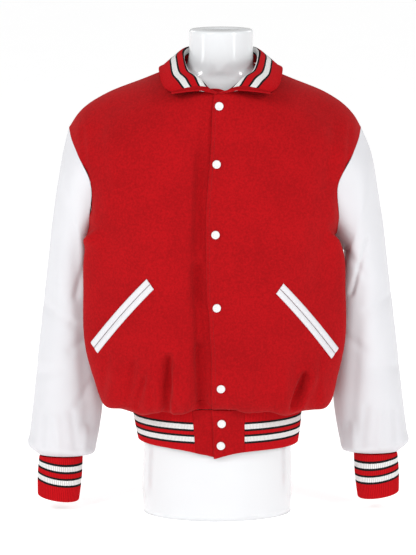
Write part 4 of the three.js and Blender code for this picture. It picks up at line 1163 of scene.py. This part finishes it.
class JacketSizes(bpy.types.PropertyGroup):
    melton_thick: length_property("Melton thickness", "Thickness of the wool cloth", 0.0022, 0.001, 0.003)
    sleeve_thick: length_property("Sleeve thickness", "Thickness of the coated cloth", 0.0016, 0.001, 0.003)
    rib_thick: length_property("Rib thickness", "Thickness of the knit over its ribs", 0.0032, 0.002, 0.004)
    rib_pitch: length_property("Rib pitch", "Distance from one rib to the next", 0.0029, 0.002, 0.005)
    rib_deep: length_property("Rib depth", "Depth of the furrow between two ribs", 0.0007, 0.0002, 0.0012)
    snap_radius: length_property("Snap radius", "Radius of a snap's cap", 0.0075, 0.006, 0.01)
    welt_long: length_property("Welt length", "Length of a pocket's welts", 0.16, 0.12, 0.18)
    welt_wide: length_property("Welt width", "Width of one welt", 0.0104, 0.006, 0.014)


class JacketColours(bpy.types.PropertyGroup):
    wool: colour_property("Wool", "Colour of the body's cloth", (0.36, 0.003, 0.0055))
    rib: colour_property("Rib knit", "Main colour of the rib knit", (0.50, 0.004, 0.008))
    stripe: colour_property("Stripe", "Colour of the knit's pale stripes", (0.76, 0.76, 0.75))
    edging: colour_property("Stripe edging", "Colour of the lines beside the stripes", (0.012, 0.009, 0.01))
    sleeve: colour_property("Sleeve", "Colour of the sleeves and pocket welts", (0.66, 0.66, 0.685))
    snap: colour_property("Snap", "Colour of the snap caps", (0.74, 0.74, 0.745))
    form: colour_property("Form", "Colour of the dress form", (0.72, 0.735, 0.75))


def jacket_sizes():
    return bpy.context.scene.jacket_sizes


def jacket_colours():
    return bpy.context.scene.jacket_colours


def material_once(name, maker):
    return bpy.data.materials.get(name) or maker()


def melton_material():
    return material_once("wool_melton", lambda: wool_melton(jacket_colours()))


def leather_material():
    return material_once("smooth_leather", lambda: smooth_leather("smooth_leather", jacket_colours()))


class JACKET_OT_form(bpy.types.Operator):
    """Build the dress form that the jacket hangs on"""

    bl_idname = "jacket.form"
    bl_label = "Dress form"

    def execute(self, context):
        piece = build_form()
        finish_piece(piece, form_gloss(jacket_colours()), ["dress_form"])
        piece.data.materials.append(socket_dark())
        return {"FINISHED"}


class JACKET_OT_fronts(bpy.types.Operator):
    """Build the two front panels"""

    bl_idname = "jacket.fronts"
    bl_label = "Fronts"

    def execute(self, context):
        for side in SIDES:
            piece = build_front(side, jacket_sizes())
            finish_piece(piece, melton_material(), [f"front_{side}"])
        return {"FINISHED"}


class JACKET_OT_back(bpy.types.Operator):
    """Build the back panel"""

    bl_idname = "jacket.back"
    bl_label = "Back"

    def execute(self, context):
        piece = build_back(jacket_sizes())
        finish_piece(piece, melton_material(), ["back"])
        return {"FINISHED"}


class JACKET_OT_sleeves(bpy.types.Operator):
    """Build the two set-in sleeves"""

    bl_idname = "jacket.sleeves"
    bl_label = "Sleeves"

    def execute(self, context):
        for side in SIDES:
            piece = build_sleeve(side, jacket_sizes())
            finish_piece(piece, leather_material(), [f"sleeve_{side}"])
        return {"FINISHED"}


class JACKET_OT_cuffs(bpy.types.Operator):
    """Build the two rib-knit cuffs"""

    bl_idname = "jacket.cuffs"
    bl_label = "Cuffs"

    def execute(self, context):
        sizes = jacket_sizes()
        knit = rib_knit("rib_knit_cuff", CUFF_STRIPES, jacket_colours(), sizes.rib_pitch)
        for side in SIDES:
            piece = build_cuff(side, sizes)
            finish_piece(piece, knit, [f"cuff_{side}"])
        return {"FINISHED"}


class JACKET_OT_waistband(bpy.types.Operator):
    """Build the rib-knit waistband and its two cloth tabs"""

    bl_idname = "jacket.waistband"
    bl_label = "Waistband"

    def execute(self, context):
        sizes = jacket_sizes()
        knit = rib_knit("rib_knit_band", BAND_STRIPES, jacket_colours(), sizes.rib_pitch)
        band = build_band(sizes)
        finish_piece(band, knit, ["waistband"])
        for side in SIDES:
            tab = build_tab(side, sizes)
            finish_piece(tab, melton_material(), [f"waistband_tab_{side}"])
        return {"FINISHED"}


class JACKET_OT_collar(bpy.types.Operator):
    """Build the rib-knit collar"""

    bl_idname = "jacket.collar"
    bl_label = "Collar"

    def execute(self, context):
        sizes = jacket_sizes()
        ribs = 2 * round(470 / (sizes.rib_pitch / MM) / 2)
        half = ribs * sizes.rib_pitch / 2
        # The last 12 mm at each end of the collar are plain red, darkened as painted shade.
        shaded_plain_end = (half, half - 0.012)
        knit = rib_knit("rib_knit_collar", COLLAR_STRIPES, jacket_colours(), sizes.rib_pitch, shaded_plain_end)
        piece = build_collar(sizes)
        finish_piece(piece, knit, ["collar"])
        return {"FINISHED"}


class JACKET_OT_pockets(bpy.types.Operator):
    """Build the two slanted pockets' welts"""

    bl_idname = "jacket.pockets"
    bl_label = "Pockets"

    def execute(self, context):
        for side in SIDES:
            tree = front_tree(bpy.data.objects[f"melton_front_{side}"])
            for place in ("upper", "lower"):
                piece = build_welt(tree, side, place, jacket_sizes())
                finish_piece(piece, leather_material(), [f"pocket_{side}_{place}"])
        return {"FINISHED"}


class JACKET_OT_snaps(bpy.types.Operator):
    """Build the snap caps down the front"""

    bl_idname = "jacket.snaps"
    bl_label = "Snaps"

    def execute(self, context):
        enamel = snap_enamel(jacket_colours())
        trees = [front_tree(bpy.data.objects[name]) for name in ("melton_front_left", "melton_tab_left")]
        for index, (x, z) in enumerate(SNAPS, 1):
            seat, normal = place_on_front(trees[z < BAND_TOP], x, z)
            piece = build_snap(index, seat, normal, jacket_sizes().snap_radius / MM)
            finish_piece(piece, enamel, [f"snap_{index}"])
        return {"FINISHED"}


class JACKET_OT_sewing(bpy.types.Operator):
    """Sew the rows of stitches that show"""

    bl_idname = "jacket.sewing"
    bl_label = "Sewing"

    def execute(self, context):
        tree = front_tree(bpy.data.objects["melton_front_left"])
        places = []
        normals = []
        for z in np.linspace(222, 762, 240):
            x = float(by_height(PLACKET_ROWS, z)) + 6
            seat, normal = place_on_front(tree, x, z)
            places.append(np.array(seat))
            normals.append(np.array(normal))
        piece = build_stitches("placket_stitches", [(np.array(places), np.array(normals))], 3.2, 2.4, 0.32)
        finish_piece(piece, sewing_thread("thread_red", darker(jacket_colours().wool, 0.85)), [])
        return {"FINISHED"}


class JACKET_OT_stage(bpy.types.Operator):
    """Set the floor, the lights and the camera"""

    bl_idname = "jacket.stage"
    bl_label = "Stage"

    def execute(self, context):
        scene = bpy.context.scene
        bm = bmesh.new()
        bmesh.ops.create_grid(bm, x_segments=1, y_segments=1, size=60)
        bmesh.ops.translate(bm, verts=bm.verts[:], vec=(0, 0, -0.0005))
        mesh = bpy.data.meshes.new("floor")
        bm.to_mesh(mesh)
        bm.free()
        floor = bpy.data.objects.new("floor", mesh)
        scene.collection.objects.link(floor)
        mesh.materials.append(floor_paint())
        camera = bpy.data.objects.new("camera", bpy.data.cameras.new("camera"))
        scene.collection.objects.link(camera)
        target = Vector((-0.0162, 0, 0.4256))
        rise = math.radians(9)
        distance = 7
        camera.location = target + distance * Vector((0, -math.cos(rise), math.sin(rise)))
        camera.rotation_euler = (target - camera.location).to_track_quat("-Z", "Y").to_euler()
        camera.data.sensor_fit = "HORIZONTAL"
        camera.data.sensor_width = 36
        frame_wide = 416 * 0.0018
        camera.data.lens = 36 * distance / frame_wide
        camera.data.clip_end = 200
        scene.camera = camera
        lamps = [
            ("key", (-2.3, -2.6, 2.6), 1.0, 56, 1.0),
            ("fill", (2.5, -2.4, 2.4), 1.0, 40, 1.0),
            ("strip_left", (-2.9, -1.3, 0.8), 0.3, 7, 1.5),
            ("strip_right", (2.3, -2.2, 0.8), 0.3, 6, 1.5),
            ("rear_left", (-2.2, 2.4, 2.2), 1.2, 14, 1.4),
            ("rear_right", (2.3, 2.4, 2.2), 1.2, 12, 1.4),
        ]
        for name, place, wide, power, tall in lamps:
            light = bpy.data.lights.new(name, "AREA")
            light.shape = "RECTANGLE"
            light.size = wide
            light.size_y = tall
            light.energy = power
            lamp = bpy.data.objects.new(name, light)
            lamp.location = place
            lamp.rotation_euler = (Vector((0, 0, 0.5)) - Vector(place)).to_track_quat("-Z", "Y").to_euler()
            scene.collection.objects.link(lamp)
        world = bpy.data.worlds.new("studio")
        world.use_nodes = True
        world.node_tree.nodes["Background"].inputs["Color"].default_value = (1, 1, 1, 1)
        world.node_tree.nodes["Background"].inputs["Strength"].default_value = 0.6
        scene.world = world
        scene.view_settings.view_transform = "Standard"
        return {"FINISHED"}


OPERATORS = (
    JACKET_OT_form, JACKET_OT_back, JACKET_OT_fronts, JACKET_OT_sleeves, JACKET_OT_cuffs, JACKET_OT_waistband,
    JACKET_OT_collar, JACKET_OT_pockets, JACKET_OT_snaps, JACKET_OT_sewing, JACKET_OT_stage,
)


class JACKET_PT_panel(bpy.types.Panel):
    """Sizes, colours and pieces of the jacket"""

    bl_idname = "JACKET_PT_panel"
    bl_label = "Varsity jacket"
    bl_space_type = "VIEW_3D"
    bl_region_type = "UI"
    bl_category = "Jacket"

    def draw(self, context):
        for group in (context.scene.jacket_sizes, context.scene.jacket_colours):
            box = self.layout.box()
            for name in group.bl_rna.properties.keys():
                if name not in ("rna_type", "name"):
                    box.prop(group, name)
        for operator in OPERATORS:
            self.layout.operator(operator.bl_idname)


CLASSES = (JacketSizes, JacketColours, *OPERATORS, JACKET_PT_panel)


def register():
    for entry in CLASSES:
        bpy.utils.register_class(entry)
    bpy.types.Scene.jacket_sizes = bpy.props.PointerProperty(type=JacketSizes)
    bpy.types.Scene.jacket_colours = bpy.props.PointerProperty(type=JacketColours)


def unregister():
    del bpy.types.Scene.jacket_colours
    del bpy.types.Scene.jacket_sizes
    for entry in reversed(CLASSES):
        bpy.utils.unregister_class(entry)


def main():
    register()
    for operator in OPERATORS:
        group, name = operator.bl_idname.split(".")
        getattr(getattr(bpy.ops, group), name)()
    bpy.context.view_layer.update()


if __name__ == "__main__":
    main()
